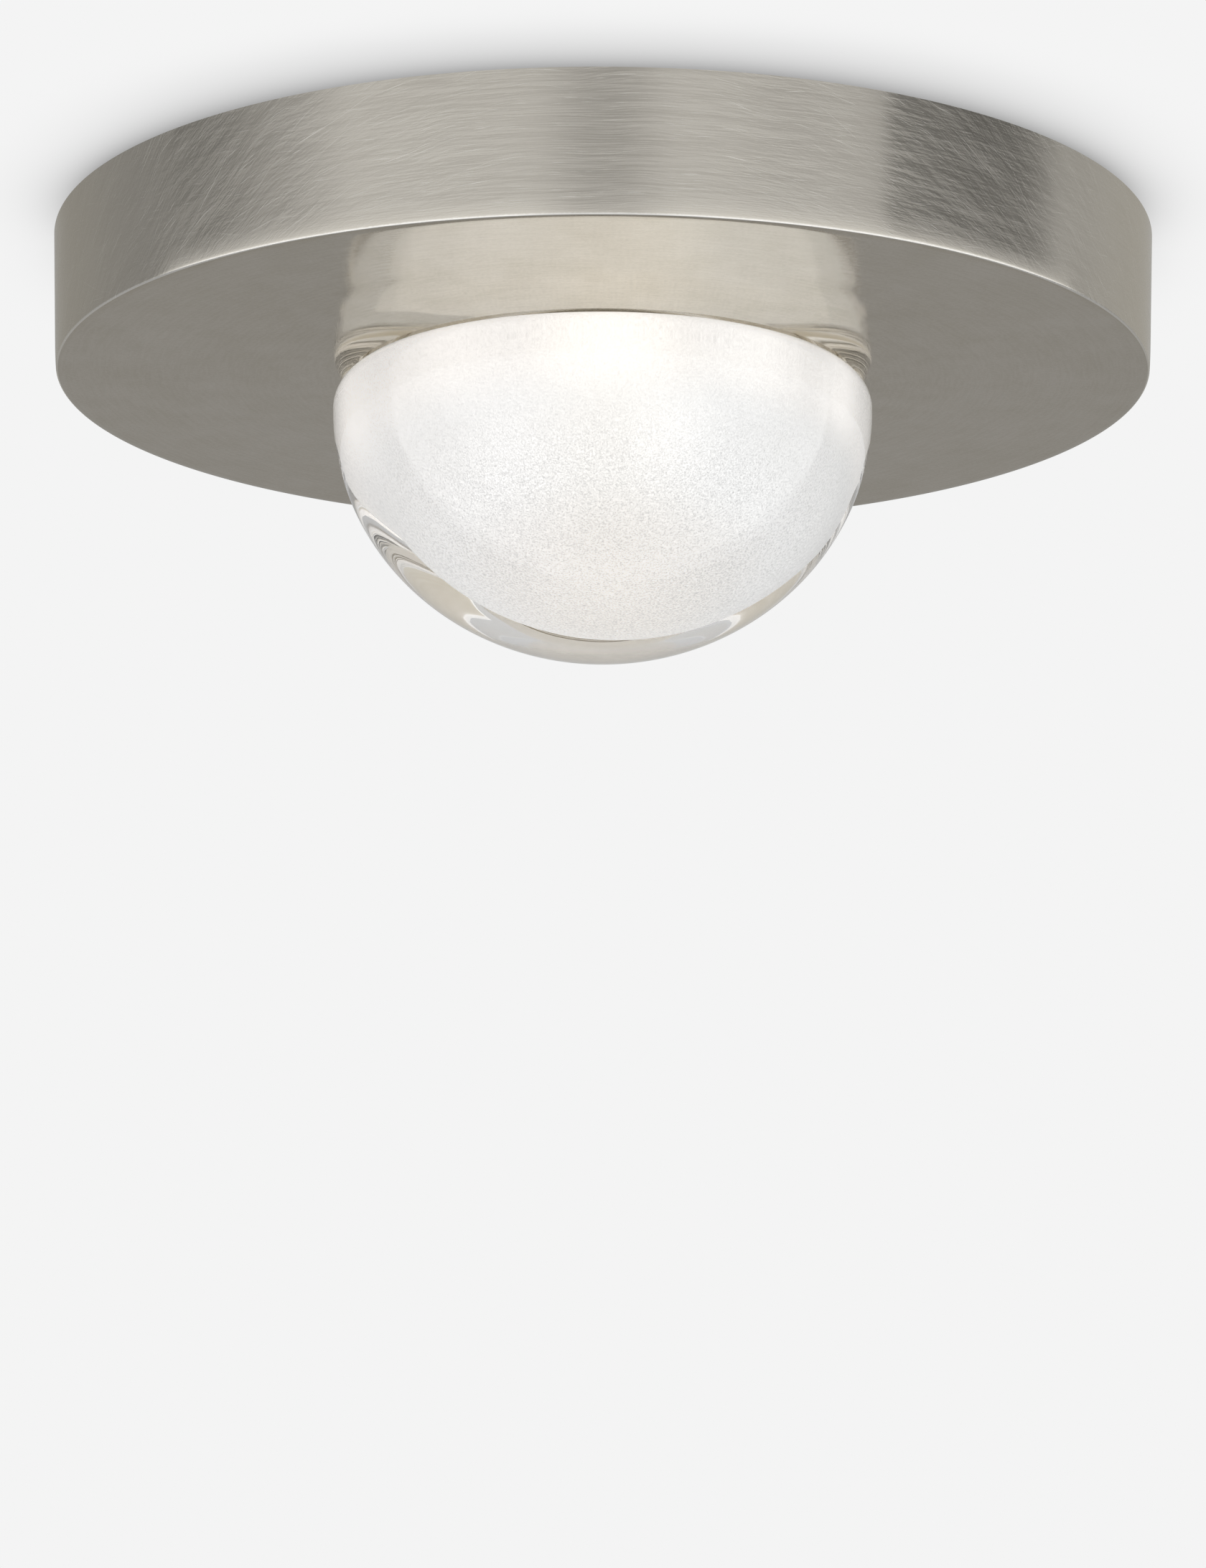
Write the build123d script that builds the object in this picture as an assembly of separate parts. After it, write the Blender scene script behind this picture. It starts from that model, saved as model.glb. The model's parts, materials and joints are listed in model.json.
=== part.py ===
"""Round flush-mount ceiling light: a shallow metal canopy with a thick glass half-ball below it.

Millimetres, +Z up. The origin is the middle of the ceiling plane, where the mounting plate and
the canopy's rim meet the ceiling, so the whole light hangs below z = 0.
"""
from build123d import *
from math import asin, atan2, cos, degrees, pi, radians, sin, sqrt, tan
import os

# ---------------------------------------------------------------- driving dimensions
# Canopy: one spun sheet-metal pan, open towards the ceiling.
canopy_radius = 177.8
canopy_rim_radius = 179.2
canopy_height = 45.3
canopy_wall = 1.5
canopy_edge_radius = 0.8
canopy_inner_edge_radius = 0.5

# Glass dome: an ellipsoid below its widest plane, a rounded shoulder above it.
dome_radius = 87.8
dome_widest_drop = 9.4
dome_lower_depth = 81.9
dome_rim_radius = 82.7
cavity_radius = 57.5
cavity_depth = 52.1

# Screw joint between the holder collar and the ring bonded into the glass.
thread_pitch = 3.0
thread_turns = 2
collar_wall = 3.0
collar_flange_width = 12.5
collar_flange_thickness = 2.5
dome_ring_wall = 4.4
dome_ring_below_thread = 2.0
running_clearance = 0.05
bond_gap = 0.05

# Gasket between the glass rim and the canopy's face.
gasket_thickness = 0.5
gasket_inner_radius = 62.0
gasket_outer_radius = 78.5

# Mounting plate on the ceiling box, and the studs that hang the canopy from it.
mounting_plate_radius = 58.0
mounting_plate_thickness = 2.0
wire_hole_radius = 18.0
box_screw_spacing = 88.9
box_slot_length = 16.0
box_slot_width = 4.8
stud_to_collar_wall = 6.0
stud_radius = 2.5
stud_top_gap = 0.3
lock_nut_height = 4.0
washer_radius = 4.8
washer_thickness = 1.0
cap_nut_across_flats = 8.0
cap_nut_hex_height = 4.5
cap_nut_height = 9.0
cap_nut_cover = 2.2
cap_nut_shoulder = 0.3
cap_nut_rounding = 3.4

# Plate inside the canopy that takes the weight of the glass.
back_plate_radius = 75.0
back_plate_thickness = 2.0

# Light source.
heat_sink_overhang = 1.0
heat_sink_base = 4.5
heat_sink_height = 14.0
fin_thickness = 1.6
fin_pitch = 5.6
thermal_pad_thickness = 0.5
led_board_gap = 2.0
led_board_thickness = 1.6
led_screw_count = 3
chip_size = 3.0
chip_height = 0.8
chip_ring_margin = 9.0
chip_ring_pitch = 12.0
chip_ring_counts = (12, 6)
connector_near_x = 6.0
connector_length = 8.0
connector_width = 6.8
connector_height = 4.5
connector_chamfer = 0.6
led_cover_gap = 1.0
led_cover_wall = 1.5
led_cover_depth = 12.0
led_cover_flange_width = 3.5
led_cover_flange = 1.0
led_cover_rounding = 6.0

# Grommet and leads of the light source.
grommet_inset = 4.5
grommet_radius = 3.0
grommet_flange_radius = 4.2
grommet_flange = 0.8
grommet_bore_radius = 2.0
notch_width = 9.0
notch_margin = 1.0
lead_radius = 0.75
lead_spacing = 1.7
lead_run_drop = 30.0
lead_bend_radius = 8.0
bend_share = 0.45

# Driver: a plastic case with its circuit, beside the mounting plate.
driver_gap = 9.0
driver_width = 46.0
driver_length = 90.0
driver_height = 24.0
driver_wall = 1.8
driver_lid_thickness = 2.0
driver_ear_length = 14.0
driver_ear_width = 20.0
driver_ear_thickness = 3.0
driver_boss_radius = 3.2
lid_screw_grip = 8.0
lid_hole_depth = 10.0
driver_pillar_radius = 2.0
driver_pillar_height = 4.0
driver_pillar_inset = 13.0
driver_board_thickness = 1.6
driver_board_clearance = 0.5
transformer_size = (20.0, 24.0, 13.0)
transformer_y = -16.0
transformer_chamfer = 2.0
capacitor_radius = 5.0
capacitor_height = 13.0
capacitor_edge_radius = 0.8
capacitor_places = ((-8.0, 12.0), (7.0, 12.0))
output_landing_inset = 8.0

# Terminal block for the house wiring.
terminal_gap = 9.0
terminal_width = 36.0
terminal_depth = 16.0
terminal_height = 16.0
terminal_chamfer = 1.0
terminal_entry_radius = 2.0
terminal_entry_depth = 10.0
terminal_screw_inset = 4.0
terminal_pole_pitch = 12.0
supply_lead_drop = 31.0
supply_landing_inset = 11.0

# Earth bonding.
ground_screw_angle = 225.0
earth_stud_place = (40.0, -95.0)
earth_lead_radius = 1.1
earth_lead_straight = 16.0
earth_lead_bow = 12.0
lug_radius = 4.2
lug_thickness = 0.8
lug_barrel_radius = 1.75
lug_barrel_start = 6.0
lug_barrel_length = 7.0
lug_barrel_floor = 1.0

# Small fasteners.
m4_radius = 2.0
m4_head_radius = 3.6
m4_head_height = 2.4
m4_nut_across_flats = 7.0
m4_nut_height = 3.2
m3_radius = 1.5
m3_head_radius = 2.8
m3_head_height = 1.9
m2_radius = 1.1
m2_head_radius = 2.0
m2_head_height = 1.4
stud_spare = 1.0
screw_clearance = 0.25
thread_fit = 0.05
recess_width = 0.9
recess_depth = 0.9
recess_span = 1.2

# ---------------------------------------------------------------- levels and shared places
face_z = -canopy_height
inner_z = face_z + canopy_wall
back_top_z = inner_z + back_plate_thickness
rim_plane_z = face_z - gasket_thickness
widest_z = face_z - dome_widest_drop
thread_length = thread_pitch * thread_turns
collar_bottom_z = rim_plane_z - thread_length
dome_ring_height = thread_length + dome_ring_below_thread
dome_ring_outer_radius = cavity_radius - bond_gap
dome_ring_inner_radius = dome_ring_outer_radius - dome_ring_wall
collar_thread_radius = dome_ring_inner_radius - running_clearance
collar_inner_radius = collar_thread_radius - collar_wall
collar_flange_inner_radius = collar_inner_radius - collar_flange_width
stud_circle_radius = collar_inner_radius - stud_to_collar_wall
flange_bottom_z = face_z - collar_flange_thickness
plate_under_z = -mounting_plate_thickness
pad_bottom_z = face_z - thermal_pad_thickness
board_bottom_z = pad_bottom_z - led_board_thickness
washer_bottom_z = flange_bottom_z - washer_thickness
led_cover_radius = collar_flange_inner_radius - led_cover_gap
led_cover_flange_radius = led_cover_radius + led_cover_flange_width
led_board_radius = led_cover_radius - led_cover_wall - led_board_gap
heat_sink_radius = led_board_radius + heat_sink_overhang
outer_chip_radius = led_board_radius - chip_ring_margin
led_screw_circle_radius = outer_chip_radius - chip_ring_pitch / 2
grommet_x = led_board_radius - grommet_inset
notch_near_x = grommet_x - grommet_flange_radius - notch_margin
driver_near_x = back_plate_radius + driver_gap
driver_centre_x = driver_near_x + driver_width / 2
driver_floor_z = inner_z + driver_wall
driver_board_top_z = driver_floor_z + driver_pillar_height + driver_board_thickness
driver_top_z = inner_z + driver_height
output_landing_x = driver_near_x + output_landing_inset
ear_hole_y = driver_length / 2 + driver_ear_length / 2
terminal_near_y = driver_length / 2 + driver_ear_length + terminal_gap
terminal_centre_y = terminal_near_y + terminal_depth / 2
stud_places = [(0.0, stud_circle_radius), (0.0, -stud_circle_radius)]
collar_screw_angles = (30.0, 150.0, 210.0, 330.0)
lead_sides = (-lead_spacing / 2, lead_spacing / 2)


def on_circle(radius, angle):
    """Point at an angle in degrees on a circle about the light's axis."""
    return (radius * cos(radians(angle)), radius * sin(radians(angle)))


collar_screw_places = [on_circle(stud_circle_radius, angle) for angle in collar_screw_angles]
led_screw_places = [
    on_circle(led_screw_circle_radius, 60 + turn * 360 / led_screw_count) for turn in range(led_screw_count)
]
ground_screw_place = on_circle(stud_circle_radius, ground_screw_angle)
driver_stud_places = [(driver_centre_x, ear_hole_y), (driver_centre_x, -ear_hole_y)]
terminal_stud_place = (driver_centre_x, terminal_centre_y)
terminal_pole_places = [driver_centre_x - terminal_pole_pitch, driver_centre_x + terminal_pole_pitch]


# ---------------------------------------------------------------- small builders
def rod(radius, bottom, top, place=(0.0, 0.0)):
    """Upright cylinder between two levels."""
    centre = Pos(place[0], place[1], bottom)
    return centre * Cylinder(radius, top - bottom, align=(Align.CENTER, Align.CENTER, Align.MIN))


def tube(outer, inner, bottom, top, place=(0.0, 0.0)):
    """Upright ring between two levels."""
    return rod(outer, bottom, top, place) - rod(inner, bottom, top, place)


def block(x_span, y_span, z_span):
    """Box between two corners."""
    size = [span[1] - span[0] for span in (x_span, y_span, z_span)]
    middle = [(span[0] + span[1]) / 2 for span in (x_span, y_span, z_span)]
    return Pos(*middle) * Box(*size)


def hexagon(across_flats, bottom, top, place):
    """Upright hexagonal bar."""
    outline = RegularPolygon(across_flats / 2, 6, major_radius=False)
    return Pos(place[0], place[1], bottom) * extrude(outline, top - bottom)


def revolved(outline):
    """Solid of revolution about the light's axis from a face drawn as (radius, height)."""
    return revolve(Plane.XZ * outline, Axis.Z)


def ellipse_arc(centre_z, radius, depth, arc):
    """Exact arc of an upright ellipse, drawn as (radius, height) from its lowest point outwards."""
    half = radians(arc) / 2
    end = (radius * sin(2 * half), centre_z - depth * cos(2 * half))
    corner = (radius * sin(half) / cos(half), centre_z - depth)
    return Bezier((0, centre_z - depth), corner, end, weights=[1, cos(half), 1])


def hanging_screw(radius, head_radius, head_height, seat_z, tip_z, place):
    """Screw put in from below: its head hangs under seat_z and its shank goes up to tip_z."""
    head = rod(head_radius, seat_z - head_height, seat_z, place)
    head = chamfer(head.edges().group_by(Axis.Z)[0], head_height / 3)
    slot = head_radius * recess_span
    middle = (place[0], place[1], seat_z - head_height + recess_depth / 2)
    cross = Pos(*middle) * (Box(slot, recess_width, recess_depth) + Box(recess_width, slot, recess_depth))
    return head - cross + rod(radius, seat_z, tip_z, place)


def standing_screw(radius, head_radius, head_height, seat_z, tip_z, place):
    """Screw put in from above: the same screw turned over."""
    return mirror(hanging_screw(radius, head_radius, head_height, -seat_z, -tip_z, place), Plane.XY)


def nut(across_flats, radius, bottom, top, place):
    """Hexagonal nut with its thread hole."""
    return hexagon(across_flats, bottom, top, place) - rod(radius + thread_fit, bottom, top, place)


def wire_solid(name, points, radius, bend_radii):
    """Round lead along straight runs joined by arcs, with its bend radii printed."""
    path = FilletPolyline(*points, radius=bend_radii)
    start = path @ 0
    section = Plane(origin=start, z_dir=path % 0) * Circle(radius)
    lead = sweep(section, path=path)
    ideal = pi * radius**2 * path.length
    radii = [round(bend, 1) for bend in bend_radii]
    print(f"{name}: {path.length:.1f} mm long, bends {radii} mm, volume ratio {lead.volume / ideal:.4f}")
    return lead


def roomy_bends(points):
    """Bend radius at each corner: a set share of the shorter run over the tangent of half the turn."""
    corners = []
    for before, corner, after in zip(points, points[1:], points[2:]):
        arriving = Vector(*corner) - Vector(*before)
        leaving = Vector(*after) - Vector(*corner)
        half_turn = radians(arriving.get_angle(leaving)) / 2
        corners.append(bend_share * min(arriving.length, leaving.length) / tan(half_turn))
    return corners


# ---------------------------------------------------------------- canopy and its hanging
def make_canopy_pan():
    """Spun pan: flat face, crisp bottom edge, slightly flared band, with weld studs inside."""
    outline = make_face(
        Polyline(
            (0, face_z),
            (canopy_radius, face_z),
            (canopy_rim_radius, 0),
            (canopy_rim_radius - canopy_wall, 0),
            (canopy_radius - canopy_wall, inner_z),
            (0, inner_z),
            close=True,
        )
    )
    outer_corner = outline.vertices().sort_by_distance((canopy_radius, face_z))[0]
    outline = fillet(outer_corner, canopy_edge_radius)
    inner_corner = outline.vertices().sort_by_distance((canopy_radius - canopy_wall, inner_z))[0]
    outline = fillet(inner_corner, canopy_inner_edge_radius)
    pan = revolved(outline)
    for place in stud_places:
        pan -= rod(stud_radius + screw_clearance, face_z, inner_z, place)
    for place in collar_screw_places:
        pan -= rod(m4_radius + screw_clearance, face_z, inner_z, place)
    for place in led_screw_places:
        pan -= rod(m3_radius + screw_clearance, face_z, inner_z, place)
    pan -= rod(grommet_radius + thread_fit, face_z, inner_z, (grommet_x, 0))
    for place, clamped in weld_studs():
        pan += rod(m4_radius, inner_z, inner_z + clamped + m4_nut_height + stud_spare, place)
    return pan


def weld_studs():
    """Each weld stud on the pan's inner face, with the thickness that its nut clamps."""
    studs = [(place, driver_ear_thickness) for place in driver_stud_places]
    studs.append((terminal_stud_place, terminal_height))
    studs.append((earth_stud_place, lug_thickness))
    return studs


def make_back_plate():
    """Stiff disc inside the pan that the collar is screwed to."""
    plate = rod(back_plate_radius, inner_z, back_top_z)
    for place in stud_places:
        plate -= rod(stud_radius + screw_clearance, inner_z, back_top_z, place)
    for place in collar_screw_places:
        plate -= rod(m4_radius + thread_fit, inner_z, back_top_z, place)
    for place in led_screw_places:
        plate -= rod(m3_radius + screw_clearance, inner_z, back_top_z, place)
    return plate - rod(grommet_radius + thread_fit, inner_z, back_top_z, (grommet_x, 0))


def make_mounting_plate():
    """Round plate with a wire hole, two slots for the box screws, and tapped holes."""
    plate = rod(mounting_plate_radius, plate_under_z, 0)
    plate -= rod(wire_hole_radius, plate_under_z, 0)
    for side in (-1, 1):
        slot = extrude(SlotOverall(box_slot_length, box_slot_width), mounting_plate_thickness)
        plate -= Pos(side * box_screw_spacing / 2, 0, plate_under_z) * slot
    for place in stud_places:
        plate -= rod(stud_radius + thread_fit, plate_under_z, 0, place)
    return plate - rod(m4_radius + thread_fit, plate_under_z, 0, ground_screw_place)


def make_hanger_studs():
    """Threaded studs from the mounting plate down through the canopy into the cap nuts."""
    tip_z = washer_bottom_z - cap_nut_height + cap_nut_cover + thread_fit
    return Compound([rod(stud_radius, tip_z, -stud_top_gap, place) for place in stud_places])


def make_lock_nuts():
    """Nuts that lock the studs under the mounting plate."""
    low = plate_under_z - lock_nut_height
    nuts = [nut(cap_nut_across_flats, stud_radius, low, plate_under_z, place) for place in stud_places]
    return Compound(nuts)


def make_nut_washers():
    """Washers under the cap nuts."""
    hole = stud_radius + screw_clearance
    washers = [tube(washer_radius, hole, washer_bottom_z, flange_bottom_z, place) for place in stud_places]
    return Compound(washers)


def make_cap_nuts():
    """Domed nuts that carry the canopy, hidden inside the glass."""
    nuts = []
    hex_bottom_z = washer_bottom_z - cap_nut_hex_height
    cap_bottom_z = washer_bottom_z - cap_nut_height
    for place in stud_places:
        body = hexagon(cap_nut_across_flats, hex_bottom_z, washer_bottom_z, place)
        cap = rod(cap_nut_across_flats / 2 - cap_nut_shoulder, cap_bottom_z, hex_bottom_z, place)
        cap = fillet(cap.edges().group_by(Axis.Z)[0], cap_nut_rounding)
        hole = rod(stud_radius + thread_fit, cap_bottom_z + cap_nut_cover, washer_bottom_z, place)
        nuts.append((body + cap - hole).solid())
    return Compound(nuts)


# ---------------------------------------------------------------- dome and its holder
def make_holder_collar():
    """Collar on the canopy's face: the dome ring screws onto its outside."""
    collar = tube(collar_thread_radius, collar_thread_radius - collar_wall, collar_bottom_z, face_z)
    collar += tube(collar_thread_radius, collar_flange_inner_radius, flange_bottom_z, face_z)
    collar -= rod(led_cover_flange_radius + screw_clearance, face_z - led_cover_flange, face_z)
    for place in stud_places:
        collar -= rod(stud_radius + screw_clearance, flange_bottom_z, face_z, place)
    for place in collar_screw_places:
        collar -= rod(m4_radius + screw_clearance, flange_bottom_z, face_z, place)
    return collar


def make_collar_screws():
    """Screws through the collar's flange and the pan into the back plate."""
    screws = [
        hanging_screw(m4_radius, m4_head_radius, m4_head_height, flange_bottom_z, back_top_z, place)
        for place in collar_screw_places
    ]
    return Compound(screws)


def make_rim_gasket():
    """Thin flat ring between the glass rim and the canopy's face."""
    return tube(gasket_outer_radius, gasket_inner_radius, rim_plane_z, face_z)


def make_dome_ring():
    """Threaded ring bonded into the mouth of the glass."""
    low = rim_plane_z - dome_ring_height
    return tube(dome_ring_outer_radius, dome_ring_inner_radius, low, rim_plane_z)


def make_glass_dome():
    """Thick glass: an ellipsoid with a rounded shoulder and a flat rim, hollowed from above."""
    shoulder_rise = rim_plane_z - widest_z
    inward = dome_radius - dome_rim_radius
    shoulder_radius = (inward**2 + shoulder_rise**2) / (2 * inward)
    half = atan2(shoulder_rise, shoulder_radius - inward) / 2
    shoulder_middle = (
        dome_radius - shoulder_radius + shoulder_radius * cos(half),
        widest_z + shoulder_radius * sin(half),
    )
    seat_z = rim_plane_z - dome_ring_height
    seat_angle = asin((face_z - seat_z) / cavity_depth)
    hollow_edge_radius = cavity_radius * cos(seat_angle)
    hollow_arc = 90 - degrees(seat_angle)
    outline = make_face(
        [
            Line((cavity_radius, rim_plane_z), (dome_rim_radius, rim_plane_z)),
            ThreePointArc((dome_rim_radius, rim_plane_z), shoulder_middle, (dome_radius, widest_z)),
            ellipse_arc(widest_z, dome_radius, dome_lower_depth, 90),
            Line((0, widest_z - dome_lower_depth), (0, face_z - cavity_depth)),
            ellipse_arc(face_z, cavity_radius, cavity_depth, hollow_arc),
            Line((hollow_edge_radius, seat_z), (cavity_radius, seat_z)),
            Line((cavity_radius, seat_z), (cavity_radius, rim_plane_z)),
        ]
    )
    return revolved(outline)


# ---------------------------------------------------------------- light source
def lead_notch(bottom, top):
    """Way for the leads at the edge of a disc."""
    return block((notch_near_x, led_cover_radius), (-notch_width / 2, notch_width / 2), (bottom, top))


def make_heat_sink():
    """Finned aluminium block behind the light source."""
    base_top_z = back_top_z + heat_sink_base
    top_z = back_top_z + heat_sink_height
    sink = rod(heat_sink_radius, back_top_z, top_z)
    fin_count = int(2 * heat_sink_radius / fin_pitch)
    first_gap = -fin_pitch * fin_count / 2
    for step in range(fin_count + 1):
        low_x = first_gap + step * fin_pitch - (fin_pitch - fin_thickness) / 2
        x_span = (low_x, low_x + fin_pitch - fin_thickness)
        sink -= block(x_span, (-heat_sink_radius, heat_sink_radius), (base_top_z, top_z))
    for place in led_screw_places:
        sink -= rod(m3_radius + thread_fit, back_top_z, base_top_z, place)
    return sink - lead_notch(back_top_z, top_z)


def make_thermal_pad():
    """Soft pad between the light source's board and the canopy's face."""
    pad = rod(led_board_radius, pad_bottom_z, face_z) - lead_notch(pad_bottom_z, face_z)
    for place in led_screw_places:
        pad -= rod(m3_radius + screw_clearance, pad_bottom_z, face_z, place)
    return pad


def make_led_board():
    """Metal-core board."""
    board = rod(led_board_radius, board_bottom_z, pad_bottom_z) - lead_notch(board_bottom_z, pad_bottom_z)
    for place in led_screw_places:
        board -= rod(m3_radius + screw_clearance, board_bottom_z, pad_bottom_z, place)
    return board


def make_led_chips():
    """Light chips in rings under the board."""
    chips = []
    for ring, count in enumerate(chip_ring_counts):
        for step in range(count):
            x, y = on_circle(outer_chip_radius - ring * chip_ring_pitch, (step + 0.5) * 360 / count)
            chip = block((-chip_size / 2, chip_size / 2), (-chip_size / 2, chip_size / 2), (-chip_height, 0))
            chips.append(Pos(x, y, board_bottom_z) * chip)
    return Compound(chips)


def make_led_board_screws():
    """Screws through board, pad, pan and back plate into the heat sink."""
    tip_z = back_top_z + heat_sink_base
    screws = [
        hanging_screw(m3_radius, m3_head_radius, m3_head_height, board_bottom_z, tip_z, place)
        for place in led_screw_places
    ]
    return Compound(screws)


def make_led_connector():
    """Poke-in connector where the leads end on the board."""
    half = connector_width / 2
    x_span = (connector_near_x, connector_near_x + connector_length)
    body = block(x_span, (-half, half), (board_bottom_z - connector_height, board_bottom_z))
    return chamfer(body.edges().group_by(Axis.Z)[0], connector_chamfer)


def make_led_cover():
    """Translucent cup over the light source, its flange trapped under the collar."""
    low = face_z - led_cover_depth
    cup = rod(led_cover_radius, low, face_z)
    cup = fillet(cup.edges().group_by(Axis.Z)[0], led_cover_rounding)
    inside = rod(led_cover_radius - led_cover_wall, low + led_cover_wall, face_z)
    inside = fillet(inside.edges().group_by(Axis.Z)[0], led_cover_rounding - led_cover_wall)
    flange = rod(led_cover_flange_radius, face_z - led_cover_flange, face_z)
    return cup + flange - inside


def make_lead_grommet():
    """Grommet through the pan and the back plate."""
    place = (grommet_x, 0)
    body = rod(grommet_radius, face_z - grommet_flange, back_top_z + grommet_flange, place)
    body += rod(grommet_flange_radius, face_z - grommet_flange, face_z, place)
    body += rod(grommet_flange_radius, back_top_z, back_top_z + grommet_flange, place)
    return body - rod(grommet_bore_radius, face_z - grommet_flange, back_top_z + grommet_flange, place)


def make_led_lead(name, y):
    """Lead from the driver's board over the heat sink's notch and down to the light's connector."""
    run_z = -lead_run_drop
    end_z = board_bottom_z - connector_height / 2
    end_x = connector_near_x + connector_length
    points = [
        (output_landing_x, y, driver_board_top_z),
        (output_landing_x, y, run_z),
        (grommet_x, y, run_z),
        (grommet_x, y, end_z),
        (end_x, y, end_z),
    ]
    landing_bend = bend_share * (run_z - driver_board_top_z)
    grommet_bend = face_z - grommet_flange - end_z
    return wire_solid(name, points, lead_radius, [landing_bend, lead_bend_radius, grommet_bend])


# ---------------------------------------------------------------- driver and terminals
def driver_corners(inset):
    """The four places inside the case at a distance from its outer corners."""
    half_length = driver_length / 2 - inset
    near, far = driver_near_x + inset, driver_near_x + driver_width - inset
    return [(x, y) for x in (near, far) for y in (-half_length, half_length)]


def make_driver_housing():
    """Open plastic case with two ears, lid bosses, board pillars and holes for its leads."""
    far_x = driver_near_x + driver_width
    half_length = driver_length / 2
    case = block((driver_near_x, far_x), (-half_length, half_length), (inner_z, driver_top_z))
    case = fillet(case.edges().filter_by(Axis.Z), driver_wall)
    case -= block(
        (driver_near_x + driver_wall, far_x - driver_wall),
        (-half_length + driver_wall, half_length - driver_wall),
        (driver_floor_z, driver_top_z),
    )
    ear_half = driver_ear_width / 2
    ear_x = (driver_centre_x - ear_half, driver_centre_x + ear_half)
    for side in (-1, 1):
        ear_y = sorted((side * (half_length - driver_wall), side * (half_length + driver_ear_length)))
        case += block(ear_x, ear_y, (inner_z, inner_z + driver_ear_thickness))
    for place in driver_stud_places:
        case -= rod(m4_radius + screw_clearance, inner_z, inner_z + driver_ear_thickness, place)
    for place in driver_corners(driver_boss_radius):
        case += rod(driver_boss_radius, driver_floor_z, driver_top_z, place)
        case -= rod(m2_radius + thread_fit, driver_top_z - lid_hole_depth, driver_top_z, place)
    for place in driver_corners(driver_pillar_inset):
        case += rod(driver_pillar_radius, driver_floor_z, driver_floor_z + driver_pillar_height, place)
    for y in lead_sides:
        hole = Pos(driver_near_x, y, -lead_run_drop) * Rot(0, 90, 0)
        case -= hole * Cylinder(lead_radius + thread_fit, 3 * driver_wall)
    for x in terminal_pole_places:
        hole = Pos(x, half_length, -supply_lead_drop) * Rot(90, 0, 0)
        case -= hole * Cylinder(lead_radius + thread_fit, 3 * driver_wall)
    return case


def make_driver_lid():
    """Lid screwed onto the case."""
    far_x = driver_near_x + driver_width
    half_length = driver_length / 2
    lid_top_z = driver_top_z + driver_lid_thickness
    lid = block((driver_near_x, far_x), (-half_length, half_length), (driver_top_z, lid_top_z))
    lid = fillet(lid.edges().filter_by(Axis.Z), driver_wall)
    for place in driver_corners(driver_boss_radius):
        lid -= rod(m2_radius + thread_fit, driver_top_z, lid_top_z, place)
    return lid


def make_driver_lid_screws():
    """Small screws of the lid."""
    seat_z = driver_top_z + driver_lid_thickness
    tip_z = driver_top_z - lid_screw_grip
    screws = [
        standing_screw(m2_radius, m2_head_radius, m2_head_height, seat_z, tip_z, place)
        for place in driver_corners(driver_boss_radius)
    ]
    return Compound(screws)


def make_driver_board():
    """Circuit board on the case's pillars."""
    gap = driver_wall + driver_board_clearance
    far_x = driver_near_x + driver_width
    half_length = driver_length / 2
    board_low_z = driver_board_top_z - driver_board_thickness
    board = block(
        (driver_near_x + gap, far_x - gap),
        (-half_length + gap, half_length - gap),
        (board_low_z, driver_board_top_z),
    )
    for place in driver_corners(driver_boss_radius):
        board -= rod(driver_boss_radius + driver_board_clearance, board_low_z, driver_board_top_z, place)
    return board


def make_driver_transformer():
    """Wound transformer with its core, standing on the circuit board."""
    width, depth, height = transformer_size
    x_span = (driver_centre_x - width / 2, driver_centre_x + width / 2)
    y_span = (transformer_y - depth / 2, transformer_y + depth / 2)
    body = block(x_span, y_span, (driver_board_top_z, driver_board_top_z + height))
    return chamfer(body.edges().filter_by(Axis.Z), transformer_chamfer)


def make_driver_capacitors():
    """Round capacitors standing on the circuit board."""
    cans = []
    for x, y in capacitor_places:
        top_z = driver_board_top_z + capacitor_height
        can = rod(capacitor_radius, driver_board_top_z, top_z, (driver_centre_x + x, y))
        cans.append(fillet(can.edges().group_by(Axis.Z)[-1], capacitor_edge_radius))
    return Compound(cans)


def make_terminal_block():
    """Terminal block with an entry on each side of each pole and room for its screws."""
    top_z = inner_z + terminal_height
    x_span = (driver_centre_x - terminal_width / 2, driver_centre_x + terminal_width / 2)
    y_span = (terminal_near_y, terminal_near_y + terminal_depth)
    body = block(x_span, y_span, (inner_z, top_z))
    body = chamfer(body.edges().group_by(Axis.Z)[-1], terminal_chamfer)
    body -= rod(m4_radius + screw_clearance, inner_z, top_z, terminal_stud_place)
    for x in terminal_pole_places:
        lead_entry = Pos(x, terminal_near_y, -supply_lead_drop) * Rot(90, 0, 0)
        body -= lead_entry * Cylinder(lead_radius + thread_fit, terminal_entry_depth)
        wire_entry = Pos(x, terminal_near_y + terminal_depth, -supply_lead_drop) * Rot(90, 0, 0)
        body -= wire_entry * Cylinder(terminal_entry_radius, terminal_entry_depth)
    for place in terminal_screw_places():
        body -= rod(m2_head_radius + thread_fit, top_z - m2_head_height, top_z, place)
    return body


def terminal_screw_places():
    """Places of the clamping screws above the entries."""
    rows = (terminal_near_y + terminal_screw_inset, terminal_near_y + terminal_depth - terminal_screw_inset)
    return [(x, y) for x in terminal_pole_places for y in rows]


def make_terminal_screws():
    """Clamping screws, flush in the block."""
    top_z = inner_z + terminal_height
    screws = []
    for place in terminal_screw_places():
        screw = rod(m2_head_radius, top_z - m2_head_height, top_z, place)
        groove = Box(2 * m2_head_radius, recess_width, recess_depth)
        screws.append((screw - Pos(place[0], place[1], top_z) * groove).solid())
    return Compound(screws)


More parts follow.
